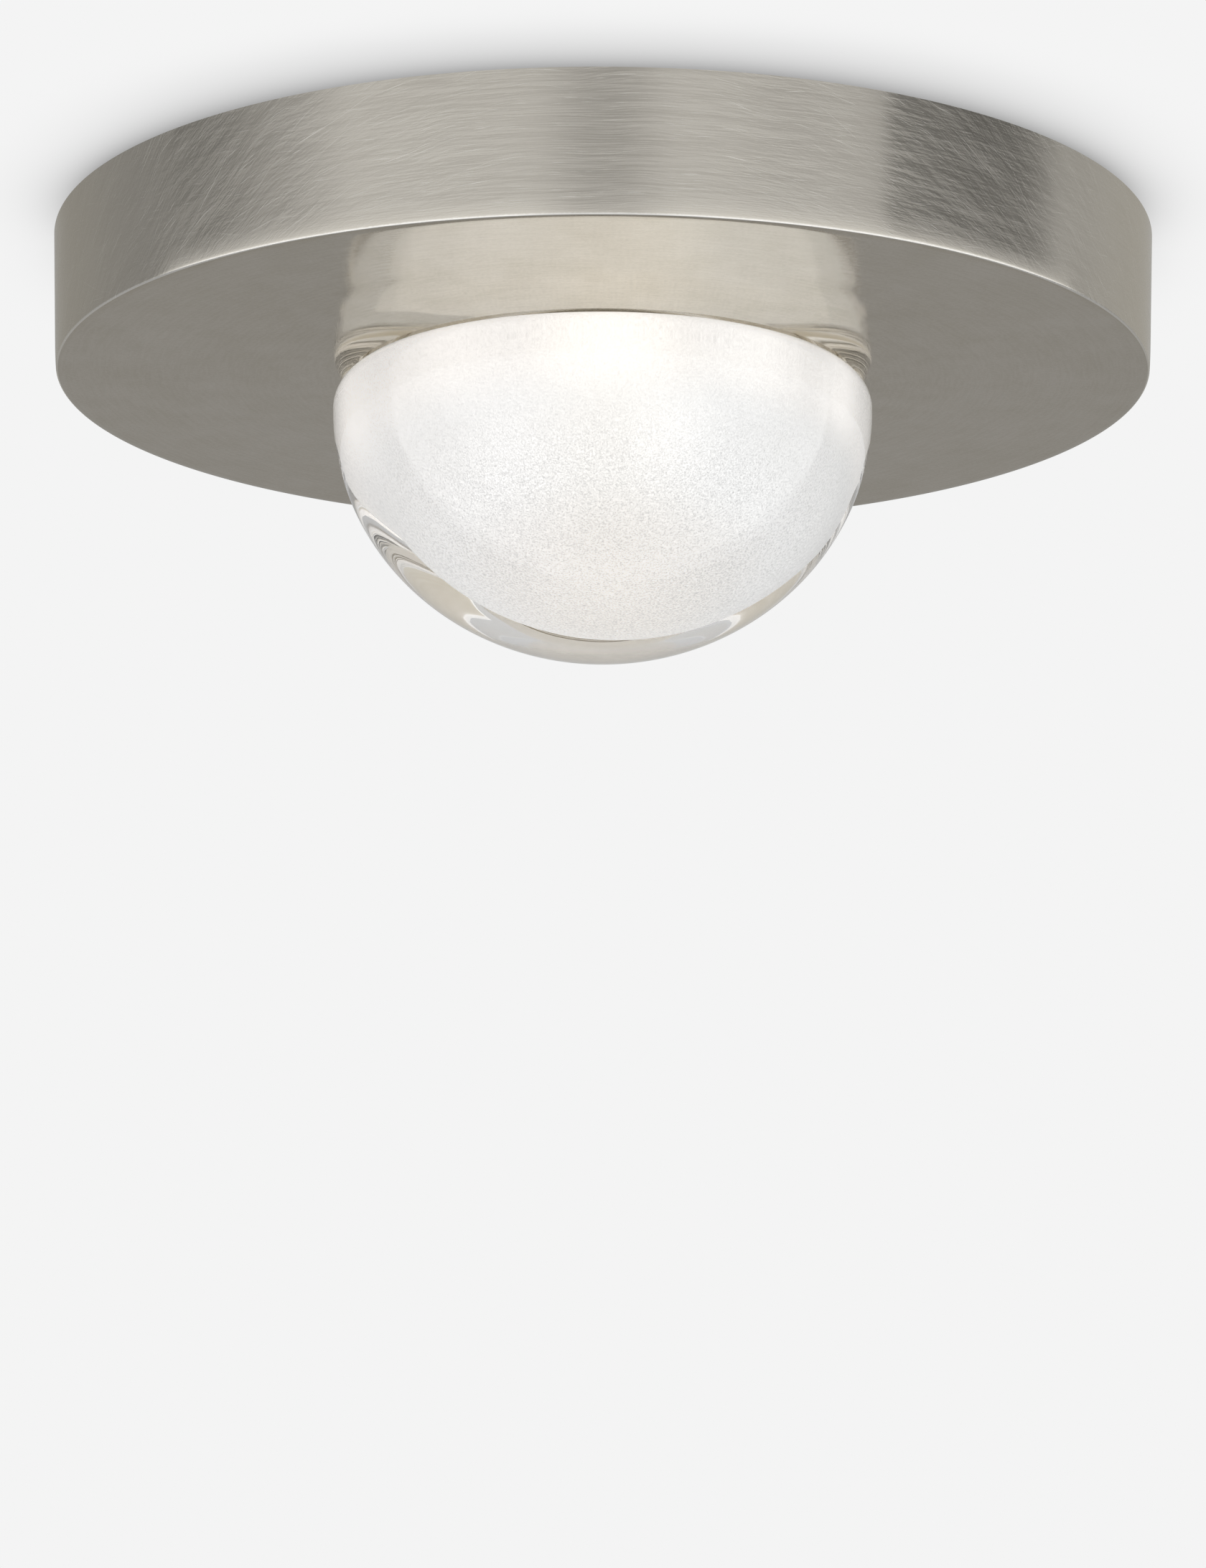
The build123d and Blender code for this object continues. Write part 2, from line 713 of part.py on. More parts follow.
def make_supply_lead(name, x):
    """Lead from the driver's board to the terminal block."""
    landing_y = driver_length / 2 - supply_landing_inset
    end_y = terminal_near_y + terminal_entry_depth / 2
    points = [
        (x, landing_y, driver_board_top_z),
        (x, landing_y, -supply_lead_drop),
        (x, end_y, -supply_lead_drop),
    ]
    landing_bend = bend_share * (-supply_lead_drop - driver_board_top_z)
    return wire_solid(name, points, lead_radius, [landing_bend])


# ---------------------------------------------------------------- earth bonding and stud nuts
def earth_direction():
    """Unit vector in plan from the ground screw to the earth stud, and the length between them."""
    dx = earth_stud_place[0] - ground_screw_place[0]
    dy = earth_stud_place[1] - ground_screw_place[1]
    span = sqrt(dx**2 + dy**2)
    return (dx / span, dy / span), span


def ring_lug(place, direction, seat_z, upward):
    """Ring lug lying on a face at seat_z, with its barrel along direction; upward is +1 or -1."""
    angle = degrees(atan2(direction[1], direction[0]))
    frame = Pos(place[0], place[1], seat_z) * Rot(0, 0, angle)
    sheet_z = sorted((0, upward * lug_thickness))
    barrel_end = lug_barrel_start + lug_barrel_length
    lug = rod(lug_radius, *sheet_z)
    lug += block((0, lug_barrel_start + lug_barrel_floor), (-lug_barrel_radius, lug_barrel_radius), sheet_z)
    barrel_place = Pos((lug_barrel_start + barrel_end) / 2, 0, upward * lug_barrel_radius) * Rot(0, 90, 0)
    lug += barrel_place * Cylinder(lug_barrel_radius, lug_barrel_length)
    lug -= rod(m4_radius + screw_clearance, *sheet_z)
    bore_length = lug_barrel_length - lug_barrel_floor
    bore_place = Pos(barrel_end - bore_length / 2, 0, upward * lug_barrel_radius) * Rot(0, 90, 0)
    lug -= bore_place * Cylinder(earth_lead_radius + thread_fit, bore_length)
    return (frame * lug).solid()


def make_earth_lugs():
    """Ring lugs at both ends of the earth lead."""
    direction, _ = earth_direction()
    backwards = (-direction[0], -direction[1])
    ground_lug = ring_lug(ground_screw_place, direction, plate_under_z, -1)
    stud_lug = ring_lug(earth_stud_place, backwards, inner_z, 1)
    return Compound([ground_lug, stud_lug])


def make_earth_lead():
    """Earth lead from the ground screw's lug to the lug on the pan, bowed sideways for slack."""
    (ux, uy), span = earth_direction()
    start = lug_barrel_start + lug_barrel_floor
    high_z = plate_under_z - lug_barrel_radius
    low_z = inner_z + lug_barrel_radius

    def at(distance, bow, z):
        x = ground_screw_place[0] + ux * distance - uy * bow
        y = ground_screw_place[1] + uy * distance + ux * bow
        return (x, y, z)

    points = [
        at(start, 0, high_z),
        at(start + earth_lead_straight, 0, high_z),
        at(span / 2, -earth_lead_bow, (high_z + low_z) / 2),
        at(span - start - earth_lead_straight, 0, low_z),
        at(span - start, 0, low_z),
    ]
    return wire_solid("earth_lead", points, earth_lead_radius, roomy_bends(points))


def make_ground_screw():
    """Earth screw in the mounting plate, clamping the lead's lug."""
    seat_z = plate_under_z - lug_thickness
    tip_z = -stud_top_gap
    return hanging_screw(m4_radius, m4_head_radius, m4_head_height, seat_z, tip_z, ground_screw_place)


def make_stud_nuts():
    """Nuts on the pan's weld studs."""
    nuts = []
    for place, clamped in weld_studs():
        low = inner_z + clamped
        nuts.append(nut(m4_nut_across_flats, m4_radius, low, low + m4_nut_height, place))
    return Compound(nuts)


# ---------------------------------------------------------------- all pieces
pieces = {
    "canopy_pan": make_canopy_pan(),
    "back_plate": make_back_plate(),
    "mounting_plate": make_mounting_plate(),
    "hanger_studs": make_hanger_studs(),
    "lock_nuts": make_lock_nuts(),
    "nut_washers": make_nut_washers(),
    "cap_nuts": make_cap_nuts(),
    "holder_collar": make_holder_collar(),
    "collar_screws": make_collar_screws(),
    "rim_gasket": make_rim_gasket(),
    "dome_ring": make_dome_ring(),
    "glass_dome": make_glass_dome(),
    "heat_sink": make_heat_sink(),
    "thermal_pad": make_thermal_pad(),
    "led_board": make_led_board(),
    "led_chips": make_led_chips(),
    "led_board_screws": make_led_board_screws(),
    "led_connector": make_led_connector(),
    "led_cover": make_led_cover(),
    "lead_grommet": make_lead_grommet(),
    "led_lead_red": make_led_lead("led_lead_red", lead_sides[1]),
    "led_lead_black": make_led_lead("led_lead_black", lead_sides[0]),
    "driver_housing": make_driver_housing(),
    "driver_lid": make_driver_lid(),
    "driver_lid_screws": make_driver_lid_screws(),
    "driver_board": make_driver_board(),
    "driver_transformer": make_driver_transformer(),
    "driver_capacitors": make_driver_capacitors(),
    "terminal_block": make_terminal_block(),
    "terminal_screws": make_terminal_screws(),
    "supply_lead_black": make_supply_lead("supply_lead_black", terminal_pole_places[0]),
    "supply_lead_white": make_supply_lead("supply_lead_white", terminal_pole_places[1]),
    "earth_lugs": make_earth_lugs(),
    "earth_lead": make_earth_lead(),
    "ground_screw": make_ground_screw(),
    "stud_nuts": make_stud_nuts(),
}

os.makedirs("parts", exist_ok=True)
for name, piece in pieces.items():
    export_step(piece, f"parts/{name}.step")
print(f"{len(pieces)} sub-parts written")
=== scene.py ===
"""Flush-mount ceiling light: the looks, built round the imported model.

Metres, +Z up. The ceiling is the plane z = 0 and the light hangs below it on the Z axis.
The canopy and the glass are worked out here as smooth surfaces of revolution from the same
outline as the solids; the pieces inside keep their own meshes and get their finishes here.
"""

import json
import math

import bmesh
import bpy
import numpy as np
from mathutils import Matrix, Vector
from mathutils.geometry import delaunay_2d_cdt


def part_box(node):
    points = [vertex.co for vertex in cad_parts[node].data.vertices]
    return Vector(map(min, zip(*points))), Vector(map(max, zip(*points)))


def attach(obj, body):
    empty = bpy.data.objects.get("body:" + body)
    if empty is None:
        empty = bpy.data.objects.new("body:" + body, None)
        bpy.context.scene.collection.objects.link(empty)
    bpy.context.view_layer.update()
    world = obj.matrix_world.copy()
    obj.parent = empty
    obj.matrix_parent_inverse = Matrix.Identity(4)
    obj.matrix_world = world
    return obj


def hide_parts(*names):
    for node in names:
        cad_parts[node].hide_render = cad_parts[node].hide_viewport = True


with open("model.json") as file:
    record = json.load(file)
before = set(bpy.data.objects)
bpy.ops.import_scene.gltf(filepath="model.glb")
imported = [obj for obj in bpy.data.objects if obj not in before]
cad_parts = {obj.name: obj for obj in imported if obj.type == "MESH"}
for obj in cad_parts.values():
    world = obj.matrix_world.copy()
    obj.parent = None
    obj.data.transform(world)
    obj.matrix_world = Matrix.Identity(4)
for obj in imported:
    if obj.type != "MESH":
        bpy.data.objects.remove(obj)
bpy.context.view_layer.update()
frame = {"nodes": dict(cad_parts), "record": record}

# ---------------------------------------------------------------- sizes
MM = 0.001
canopy_low, canopy_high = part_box("canopy_pan")
glass_low, glass_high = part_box("glass_dome")

# Canopy, with the outline of its solid.
rim_radius = canopy_high.x
face_z = canopy_low.z
wall = 1.5 * MM
foot_radius = 177.8 * MM
edge_radius = 0.8 * MM
inner_edge_radius = 0.5 * MM
inner_z = face_z + wall
stud_circle = 44.0 * MM
screw_circle = 18.0 * MM
grommet_x = 28.5 * MM
disc_radius = 56.0 * MM
canopy_steps = 384

# Points along the stretches of the canopy's outline.
face_steps = 84
face_roll_steps = 20
edge_steps = 13
band_steps = 14
rim_steps = 3
inner_band_steps = 10
inner_edge_steps = 7
inner_face_steps = 16

# The pressed face is not quite flat: its slope in degrees, with a faint ring. It rolls up towards
# its edge, and the foot of the band rolls in to meet it; both rolls are in degrees too.
face_slope_start = (92.0 * MM, 100.0 * MM)
face_slope_out = 0.6
face_ring_radius = 127.5 * MM
face_ring_width = 5.0 * MM
face_ring_slope = 1.05
face_slope_turn = (116.0 * MM, 170.0 * MM)
face_slope_back = 1.65
face_roll = 12.0
face_roll_width = 5.0 * MM
band_roll = 3.2
band_roll_height = 9.0 * MM

# Holes of the disc in the middle of the face, as turns in degrees on their circles.
hanger_hole = 2.75 * MM
pan_stud_hole = 2.25 * MM
pan_stud_turns = (30, 150, 210, 330)
collar_hole = 1.75 * MM
collar_turns = (60, 180, 300)
grommet_hole = 3.05 * MM
hole_steps = 24

# Weld studs inside the pan: place and height of each, under the driver's ears, the terminal block
# and the earth lead.
weld_stud_radius = 2.0 * MM
weld_stud_edge = 0.3 * MM
weld_stud_sunk = 0.2 * MM
weld_stud_steps = 24
weld_studs = (
    ((107.0 * MM, -52.0 * MM), 7.2 * MM),
    ((107.0 * MM, 52.0 * MM), 7.2 * MM),
    ((107.0 * MM, 76.0 * MM), 20.2 * MM),
    ((40.0 * MM, -95.0 * MM), 5.0 * MM),
)

# Glass, with the outline of its solid.
glass_radius = glass_high.x
glass_gap = 0.05 * MM
glass_rim_z = glass_high.z - glass_gap
glass_rim_radius = 82.7 * MM
glass_widest_z = face_z - 9.4 * MM
hollow_radius = 57.5 * MM
hollow_depth = 52.1 * MM
hollow_seat_z = glass_rim_z - 8.0 * MM
glass_steps = 384

# Points along the stretches of the glass's outline.
bowl_steps = 110
shoulder_steps = 14
glass_rim_steps = 8
seat_steps = 7
hollow_steps = 70

# Below its seat the hollow's wall is blended in, and moves sideways, over these depths.
hollow_blend = 12.0 * MM
hollow_lean = 3.0 * MM
hollow_lean_depth = 12.0 * MM

# Camera, solved from the canopy's and the glass's outlines in the photograph: metres, radians,
# pixels and the sensor's width in millimetres.
image_height = 2185
camera_place = Vector((0.0, -1689.1 * MM, -538.8 * MM))
camera_pitch = 0.2101
camera_yaw = -0.000269
camera_roll = 0.0028
camera_focal_pixels = 7491.0
camera_sensor = 36.0

# Light of the room, as linear grey: to the camera, through glass, and that in a mirror image.
background_grey = 0.9047
background_seen = 0.84
background_mirrored = 0.66

# Stage: the ceiling, the canopy's shadow on it, and the floor.
ceiling_reach = 1.3
ceiling_gap = 0.1 * MM
ceiling_lap = 0.3 * MM
shadow_front_depth = 0.55
shadow_side_depth = 0.10
shadow_front_reach = 17.0 * MM
shadow_side_reach = 9.0 * MM
shadow_end = (60.0 * MM, 25.0 * MM)
# From the sides to the front, as the cosine of the angle, its reach and its depth grow over these.
shadow_reach_turn = (0.45, 1.0)
shadow_depth_turn = (0.0, 0.55)
shadow_grain = 0.04
floor_z = -3.0
floor_reach = 14.0
floor_hole = 1.0 * MM
stage_middle = 0.4
stage_steps = 256


# ---------------------------------------------------------------- node helpers
def put(tree, kind, inputs=None, **settings):
    """New node; each of its inputs is given a value or the output of another node."""
    node = tree.nodes.new(kind)
    for key, value in settings.items():
        setattr(node, key, value)
    for key, value in (inputs or {}).items():
        if isinstance(value, bpy.types.NodeSocket):
            tree.links.new(value, node.inputs[key])
        else:
            node.inputs[key].default_value = value
    return node


def calc(tree, operation, *values, clamp=False):
    """Result of a math node on up to three values or outputs."""
    node = put(tree, "ShaderNodeMath", dict(enumerate(values)), operation=operation, use_clamp=clamp)
    return node.outputs[0]


def times(tree, value, factor, plus=None):
    """Value times a factor, plus a third one if it is given."""
    if plus is None:
        return calc(tree, "MULTIPLY", value, factor)
    return calc(tree, "MULTIPLY_ADD", value, factor, plus)


def vector_calc(tree, operation, *values):
    """Outputs of a vector math node on up to two vectors or outputs."""
    return put(tree, "ShaderNodeVectorMath", dict(enumerate(values)), operation=operation).outputs


def scaled(tree, vector, factor):
    """Vector times a number."""
    inputs = {0: vector, "Scale": factor}
    return put(tree, "ShaderNodeVectorMath", inputs, operation="SCALE").outputs[0]


def split(tree, vector):
    """X, y and z of a vector."""
    return put(tree, "ShaderNodeSeparateXYZ", {0: vector}).outputs


def joined(tree, *parts):
    """Vector from its x, y and z; a part that isn't given is 0."""
    return put(tree, "ShaderNodeCombineXYZ", dict(enumerate(parts))).outputs[0]


def step_up(tree, value, low, high, kind="SMOOTHSTEP"):
    """Step from 0 at low to 1 at high, smooth or linear."""
    inputs = {"Value": value, "From Min": low, "From Max": high}
    return put(tree, "ShaderNodeMapRange", inputs, interpolation_type=kind).outputs[0]


def contrast(tree, value, low=0.3, high=0.7):
    """Noise drawn out from its usual range to the whole of 0 to 1."""
    return step_up(tree, value, low, high)


def lerp(tree, factor, first, second):
    """Mix of two values."""
    inputs = {0: factor, 2: first, 3: second}
    return put(tree, "ShaderNodeMix", inputs, data_type="FLOAT").outputs[0]


def tint(tree, factor, first, second, mode="MIX"):
    """Mix of two colours."""
    inputs = {0: factor, 6: first, 7: second}
    return put(tree, "ShaderNodeMix", inputs, data_type="RGBA", blend_type=mode).outputs[2]


def ramp(tree, value, stops, interpolation="LINEAR"):
    """Colour ramp through (place, colour) stops; a grey may be given as one number."""
    node = put(tree, "ShaderNodeValToRGB", {"Fac": value})
    node.color_ramp.interpolation = interpolation
    elements = node.color_ramp.elements
    while len(elements) < len(stops):
        elements.new(0.5)
    for element, (place, colour) in zip(elements, stops):
        element.position = place
        element.color = colour if isinstance(colour, tuple) else (colour, colour, colour, 1.0)
    return node.outputs["Color"]


def noise(tree, vector, scale, detail=2.0, roughness=0.5):
    """Value of a noise texture."""
    inputs = {"Vector": vector, "Scale": scale, "Detail": detail, "Roughness": roughness}
    return put(tree, "ShaderNodeTexNoise", inputs).outputs["Fac"]


def stretched(tree, vector, turn, lengths):
    """Vector turned about Z by an angle and divided by a length along each of its axes."""
    inputs = {"Vector": vector, "Angle": turn}
    turned = put(tree, "ShaderNodeVectorRotate", inputs, rotation_type="Z_AXIS").outputs[0]
    return vector_calc(tree, "MULTIPLY", turned, [1 / length for length in lengths])[0]


def make_group(name, inputs, outputs):
    """Empty node group with named inputs, given as defaults, and named outputs; its ends too."""
    tree = bpy.data.node_groups.new(name, "ShaderNodeTree")
    for label, default in inputs.items():
        kind = "NodeSocketVector" if default is None else "NodeSocketFloat"
        socket = tree.interface.new_socket(label, in_out="INPUT", socket_type=kind)
        if default is not None:
            socket.default_value = default
    for label in outputs:
        tree.interface.new_socket(label, in_out="OUTPUT", socket_type="NodeSocketFloat")
    return tree, tree.nodes.new("NodeGroupInput").outputs, tree.nodes.new("NodeGroupOutput").inputs


def use_group(tree, group, inputs):
    """Places a node group in a tree and returns its outputs."""
    return put(tree, "ShaderNodeGroup", inputs, node_tree=group).outputs


def new_material(name):
    """New material, its tree, its Principled shader's inputs and the object coordinates."""
    material = bpy.data.materials.new(name)
    material.use_nodes = True
    tree = material.node_tree
    place = tree.nodes.new("ShaderNodeTexCoord").outputs["Object"]
    return material, tree, tree.nodes["Principled BSDF"].inputs, place


def link(tree, output, socket):
    """Joins an output to an input."""
    tree.links.new(output, socket)


def bump(tree, height, depth):
    """Normal of a relief whose full height is depth, in metres."""
    inputs = {"Height": height, "Distance": depth, "Strength": 1.0}
    return put(tree, "ShaderNodeBump", inputs).outputs["Normal"]


# ---------------------------------------------------------------- shared finishes
# Scratches: scale of the noise that bows them, where a streak becomes a bare line (less a part of
# the share of lines), and how soft the line's edge is.
bow_scale = 30.0
line_start = 0.78
line_share = 0.3
line_edge = 0.06
# How much slower the bands of the circular brushing change than its grooves.
band_slowness = 0.06


def make_hairline_group():
    """Fine scratches round the canopy: noise drawn out along curves on its side.

    The curves are z + Rise * R * (1 - cos a) = constant, where a is the angle from the front and R
    the rim's radius, so their slope is -Rise * sin a: level in front, and leaning more and more
    towards the sides. Being read from x, y and z, the noise closes on itself at the back.
    """
    defaults = {"Vector": None, "Rise": 0.0, "Length": 0.03, "Pitch": 0.001}
    defaults |= {"Bow": 0.002, "Share": 0.3, "Shift": 0.0}
    tree, given, result = make_group("hairline_scratches", defaults, ["Lines", "Streaks"])
    x, y, z = split(tree, given["Vector"])
    radius = vector_calc(tree, "LENGTH", joined(tree, x, y))["Value"]
    turned = calc(tree, "ADD", 1.0, calc(tree, "DIVIDE", y, radius))
    climb = times(tree, times(tree, turned, rim_radius), given["Rise"])
    slow = calc(tree, "SUBTRACT", noise(tree, given["Vector"], bow_scale, detail=1.0), 0.5)
    bowed = calc(tree, "ADD", climb, times(tree, slow, given["Bow"]))
    across = calc(tree, "DIVIDE", calc(tree, "ADD", z, bowed), given["Pitch"])
    along = [calc(tree, "DIVIDE", part, given["Length"]) for part in (x, y)]
    moved = vector_calc(tree, "ADD", joined(tree, *along, across), given["Shift"])[0]
    streaks = noise(tree, moved, 1.0, detail=2.0, roughness=0.6)
    edge = calc(tree, "SUBTRACT", line_start, times(tree, given["Share"], line_share))
    lines = step_up(tree, streaks, edge, calc(tree, "ADD", edge, line_edge), "LINEAR")
    link(tree, lines, result["Lines"])
    link(tree, streaks, result["Streaks"])
    return tree


def make_turned_group():
    """Circular brushing about the Z axis: noise that changes fast along the radius and height
    and slowly along the circle, by reading the direction from the axis instead of the angle."""
    defaults = {"Vector": None, "Pitch": 0.0005, "Arc": 0.35}
    tree, given, result = make_group("circular_brushing", defaults, ["Grooves", "Bands"])
    x, y, z = split(tree, given["Vector"])
    flat = joined(tree, x, y)
    radius = vector_calc(tree, "LENGTH", flat)["Value"]
    outward = vector_calc(tree, "NORMALIZE", flat)[0]
    around = split(tree, scaled(tree, outward, calc(tree, "DIVIDE", 1.0, given["Arc"])))
    across = calc(tree, "DIVIDE", calc(tree, "ADD", radius, z), given["Pitch"])
    place = joined(tree, around[0], around[1], across)
    link(tree, noise(tree, place, 1.0, detail=2.0, roughness=0.65), result["Grooves"])
    slow = vector_calc(tree, "MULTIPLY", place, (1.0, 1.0, band_slowness))[0]
    link(tree, noise(tree, slow, 1.0, detail=1.0), result["Bands"])
    return tree


def make_grain_group():
    """Fine even grain, with a slow cloudy change over the surface."""
    defaults = {"Vector": None, "Size": 0.0006, "Cloud": 0.03}
    tree, given, result = make_group("fine_grain", defaults, ["Grain", "Clouds"])
    for label, size, detail in (("Grain", given["Size"], 2.0), ("Clouds", given["Cloud"], 3.0)):
        scale = calc(tree, "DIVIDE", 1.0, size)
        link(tree, noise(tree, given["Vector"], scale, detail), result[label])
    return tree


hairlines = make_hairline_group()
brushing = make_turned_group()
grain = make_grain_group()


# ---------------------------------------------------------------- canopy's finish
nickel_dark = (0.535, 0.505, 0.445, 1.0)
nickel_light = (0.64, 0.61, 0.55, 1.0)
# Bare nickel of the bare lines, and of the lower edge, where it is also a painted highlight.
nickel_bare_and_highlight = (0.90, 0.88, 0.84, 1.0)
nickel_glancing = (0.92, 0.89, 0.82, 1.0)
face_dark = (0.53, 0.482, 0.388, 1.0)
face_light = (0.61, 0.563, 0.48, 1.0)
face_bare = (0.74, 0.69, 0.60, 1.0)

# Scratch layers of the canopy's side: rise, length, pitch, bow, share of lines, weight of the
# relief and of the lines where the side is crosshatched, and the same two weights elsewhere.
band_scratches = (
    (0.0, 0.045, 0.00035, 0.001, 0.12, 0.25, 0.1, 0.9, 0.5),
    (0.15, 0.026, 0.00050, 0.003, 0.14, 0.2, 0.1, 0.8, 0.6),
    (0.45, 0.024, 0.00040, 0.006, 0.20, 0.45, 0.5, 0.5, 0.9),
    (1.35, 0.026, 0.00036, 0.006, 0.20, 0.9, 0.9, 0.35, 0.9),
    (0.95, 0.034, 0.00038, 0.010, 0.22, 0.7, 0.8, 0.25, 0.7),
    (1.85, 0.040, 0.00040, 0.014, 0.24, 0.5, 0.9, 0.1, 0.6),
    (-0.35, 0.035, 0.00040, 0.010, 0.20, 0.15, 0.4, 0.2, 0.5),
    (0.70, 0.016, 0.00026, 0.004, 0.36, 0.4, 0.7, 0.4, 0.8),
    (-0.15, 0.014, 0.00024, 0.003, 0.34, 0.3, 0.3, 0.3, 0.8),
)
scratch_shift = 7.3
# Where the crosshatching begins at the left and at the right, by x, and its share at the right.
left_scratches = (-58.0 * MM, -112.0 * MM)
right_scratches = (80.0 * MM, 112.0 * MM)
right_share = 0.5

# The side's tone: where the added relief turns from dark to light, and the shares of the clouds,
# the streaks, the grain and the bare lines in it.
streak_range = (1.61, 2.09)
band_cloud_share = 0.3
band_streak_share = 0.5
band_grain_share = 0.2
band_line_share = 0.6
# Its roughness: plain, and what the light streaks and the bare lines add.
band_rough = 0.09
band_streak_rough = 0.15
band_line_rough = 0.2
band_relief = 0.010 * MM
# Burnished lower edge, lighter as wear and as a painted highlight: its height over the face, from
# none to full, and how ragged it is.
worn_edge_and_highlight = (1.1 * MM, 0.6 * MM)
worn_and_highlight_ragged = 0.3 * MM

# The face's tone: shares of its clouds, its bands, its speckle and its bare specks.
face_cloud_share = 0.35
face_band_share = 0.25
face_speck_share = 0.4
face_bare_share = 0.12
face_speck_range = (0.35, 0.65)
face_rough = 0.07
face_speck_rough = 0.05
face_relief = 0.004 * MM


def make_band_nickel():
    """Satin nickel of the canopy's side: crossing hairlines, tarnish and a burnished lower edge,
    also a painted highlight.
    """
    material, tree, shader, place = new_material("satin_nickel_band")
    x, _, height = split(tree, place)
    right = times(tree, step_up(tree, x, *right_scratches), right_share)
    crossed = calc(tree, "MAXIMUM", step_up(tree, x, *left_scratches), right)
    relief = 0.0
    scratches = 0.0
    for number, (rise, length, pitch, bow, share, *weights) in enumerate(band_scratches):
        inputs = {"Vector": place, "Rise": rise, "Length": length, "Pitch": pitch}
        inputs |= {"Bow": bow, "Share": share, "Shift": scratch_shift * number}
        layer = use_group(tree, hairlines, inputs)
        relief_weight = lerp(tree, crossed, weights[2], weights[0])
        line_weight = lerp(tree, crossed, weights[3], weights[1])
        relief = times(tree, layer["Streaks"], relief_weight, relief)
        scratches = calc(tree, "MAXIMUM", scratches, times(tree, layer["Lines"], line_weight))
    clouds = use_group(tree, grain, {"Vector": place, "Size": 0.0009, "Cloud": 0.03})
    streak_tone = step_up(tree, relief, *streak_range)
    uneven = times(tree, streak_tone, band_streak_share)
    uneven = times(tree, clouds["Clouds"], band_cloud_share, uneven)
    uneven = times(tree, clouds["Grain"], band_grain_share, uneven)
    tone = tint(tree, uneven, nickel_dark, nickel_light)
    tone = tint(tree, times(tree, scratches, band_line_share), tone, nickel_bare_and_highlight)
    # Wear and painted highlight: the lower edge is painted in bare nickel.
    ragged = times(tree, clouds["Grain"], worn_and_highlight_ragged, height)
    worn_and_highlight = step_up(tree, ragged, *(face_z + rise for rise in worn_edge_and_highlight))
    link(tree, tint(tree, worn_and_highlight, tone, nickel_bare_and_highlight), shader["Base Color"])
    open_grain = calc(tree, "POWER", streak_tone, 2.0)
    rough = times(tree, open_grain, band_streak_rough, band_rough)
    rough = times(tree, scratches, band_line_rough, rough)
    link(tree, rough, shader["Roughness"])
    link(tree, bump(tree, relief, band_relief), shader["Normal"])
    shader["Specular Tint"].default_value = nickel_glancing
    shader["Metallic"].default_value = 1.0
    return material


def make_face_nickel():
    """Satin nickel of the canopy's face: fine circular brushing over a nearly mirror-flat sheet."""
    material, tree, shader, place = new_material("satin_nickel_face")
    turned = use_group(tree, brushing, {"Vector": place, "Pitch": 0.0011, "Arc": 0.10})
    clouds = use_group(tree, grain, {"Vector": place, "Size": 0.0011, "Cloud": 0.018})
    mottled = times(tree, contrast(tree, clouds["Clouds"]), face_cloud_share)
    mottled = times(tree, contrast(tree, turned["Bands"]), face_band_share, mottled)
    fine = times(tree, calc(tree, "ADD", turned["Grooves"], clouds["Grain"]), 0.5)
    speck = step_up(tree, fine, *face_speck_range)
    tone = tint(tree, times(tree, speck, face_speck_share, mottled), face_dark, face_light)
    tone = tint(tree, times(tree, speck, face_bare_share), tone, face_bare)
    link(tree, tone, shader["Base Color"])
    link(tree, times(tree, speck, face_speck_rough, face_rough), shader["Roughness"])
    link(tree, bump(tree, fine, face_relief), shader["Normal"])
    shader["Metallic"].default_value = 1.0
    return material


raw_dark = (0.42, 0.41, 0.38, 1.0)
raw_light = (0.52, 0.51, 0.48, 1.0)
raw_marks = (0.62, 0.61, 0.58, 1.0)
raw_mark_share = 0.4
raw_rough = 0.36
raw_band_rough = 0.14
raw_relief = 0.04 * MM


def make_inner_nickel():
    """Raw inside of the spun pan: duller, with coarser turning marks."""
    material, tree, shader, place = new_material("raw_pan_inside")
    turned = use_group(tree, brushing, {"Vector": place, "Pitch": 0.0016, "Arc": 0.25})
    clouds = use_group(tree, grain, {"Vector": place, "Size": 0.0008, "Cloud": 0.04})
    tone = tint(tree, contrast(tree, clouds["Clouds"]), raw_dark, raw_light)
    tone = tint(tree, times(tree, turned["Grooves"], raw_mark_share), tone, raw_marks)
    link(tree, tone, shader["Base Color"])
    rough = times(tree, turned["Bands"], raw_band_rough, raw_rough)
    link(tree, rough, shader["Roughness"])
    link(tree, bump(tree, turned["Grooves"], raw_relief), shader["Normal"])
    shader["Metallic"].default_value = 1.0
    return material


# ---------------------------------------------------------------- glass finishes
glass_dark = (0.975, 0.975, 0.968, 1.0)
glass_light = (0.988, 0.988, 0.982, 1.0)
glass_index = 1.52
glass_wave = 0.003 * MM


def make_clear_glass():
    """Thick clear glass, very slightly wavy; light rays to lamps pass straight through."""
    material, tree, shader, place = new_material("clear_thick_glass")
    clouds = use_group(tree, grain, {"Vector": place, "Size": 0.012, "Cloud": 0.05})
    link(tree, bump(tree, clouds["Grain"], glass_wave), shader["Normal"])
    link(tree, tint(tree, clouds["Clouds"], glass_dark, glass_light), shader["Base Color"])
    shader["Transmission Weight"].default_value = 1.0
    shader["Roughness"].default_value = 0.0
    shader["IOR"].default_value = glass_index
    principled = tree.nodes["Principled BSDF"]
    output = tree.nodes["Material Output"]
    ray = tree.nodes.new("ShaderNodeLightPath")
    through = tree.nodes.new("ShaderNodeBsdfTransparent")
    inputs = {0: ray.outputs["Is Shadow Ray"], 1: principled.outputs[0], 2: through.outputs[0]}
    link(tree, put(tree, "ShaderNodeMixShader", inputs).outputs[0], output.inputs["Surface"])
    return material


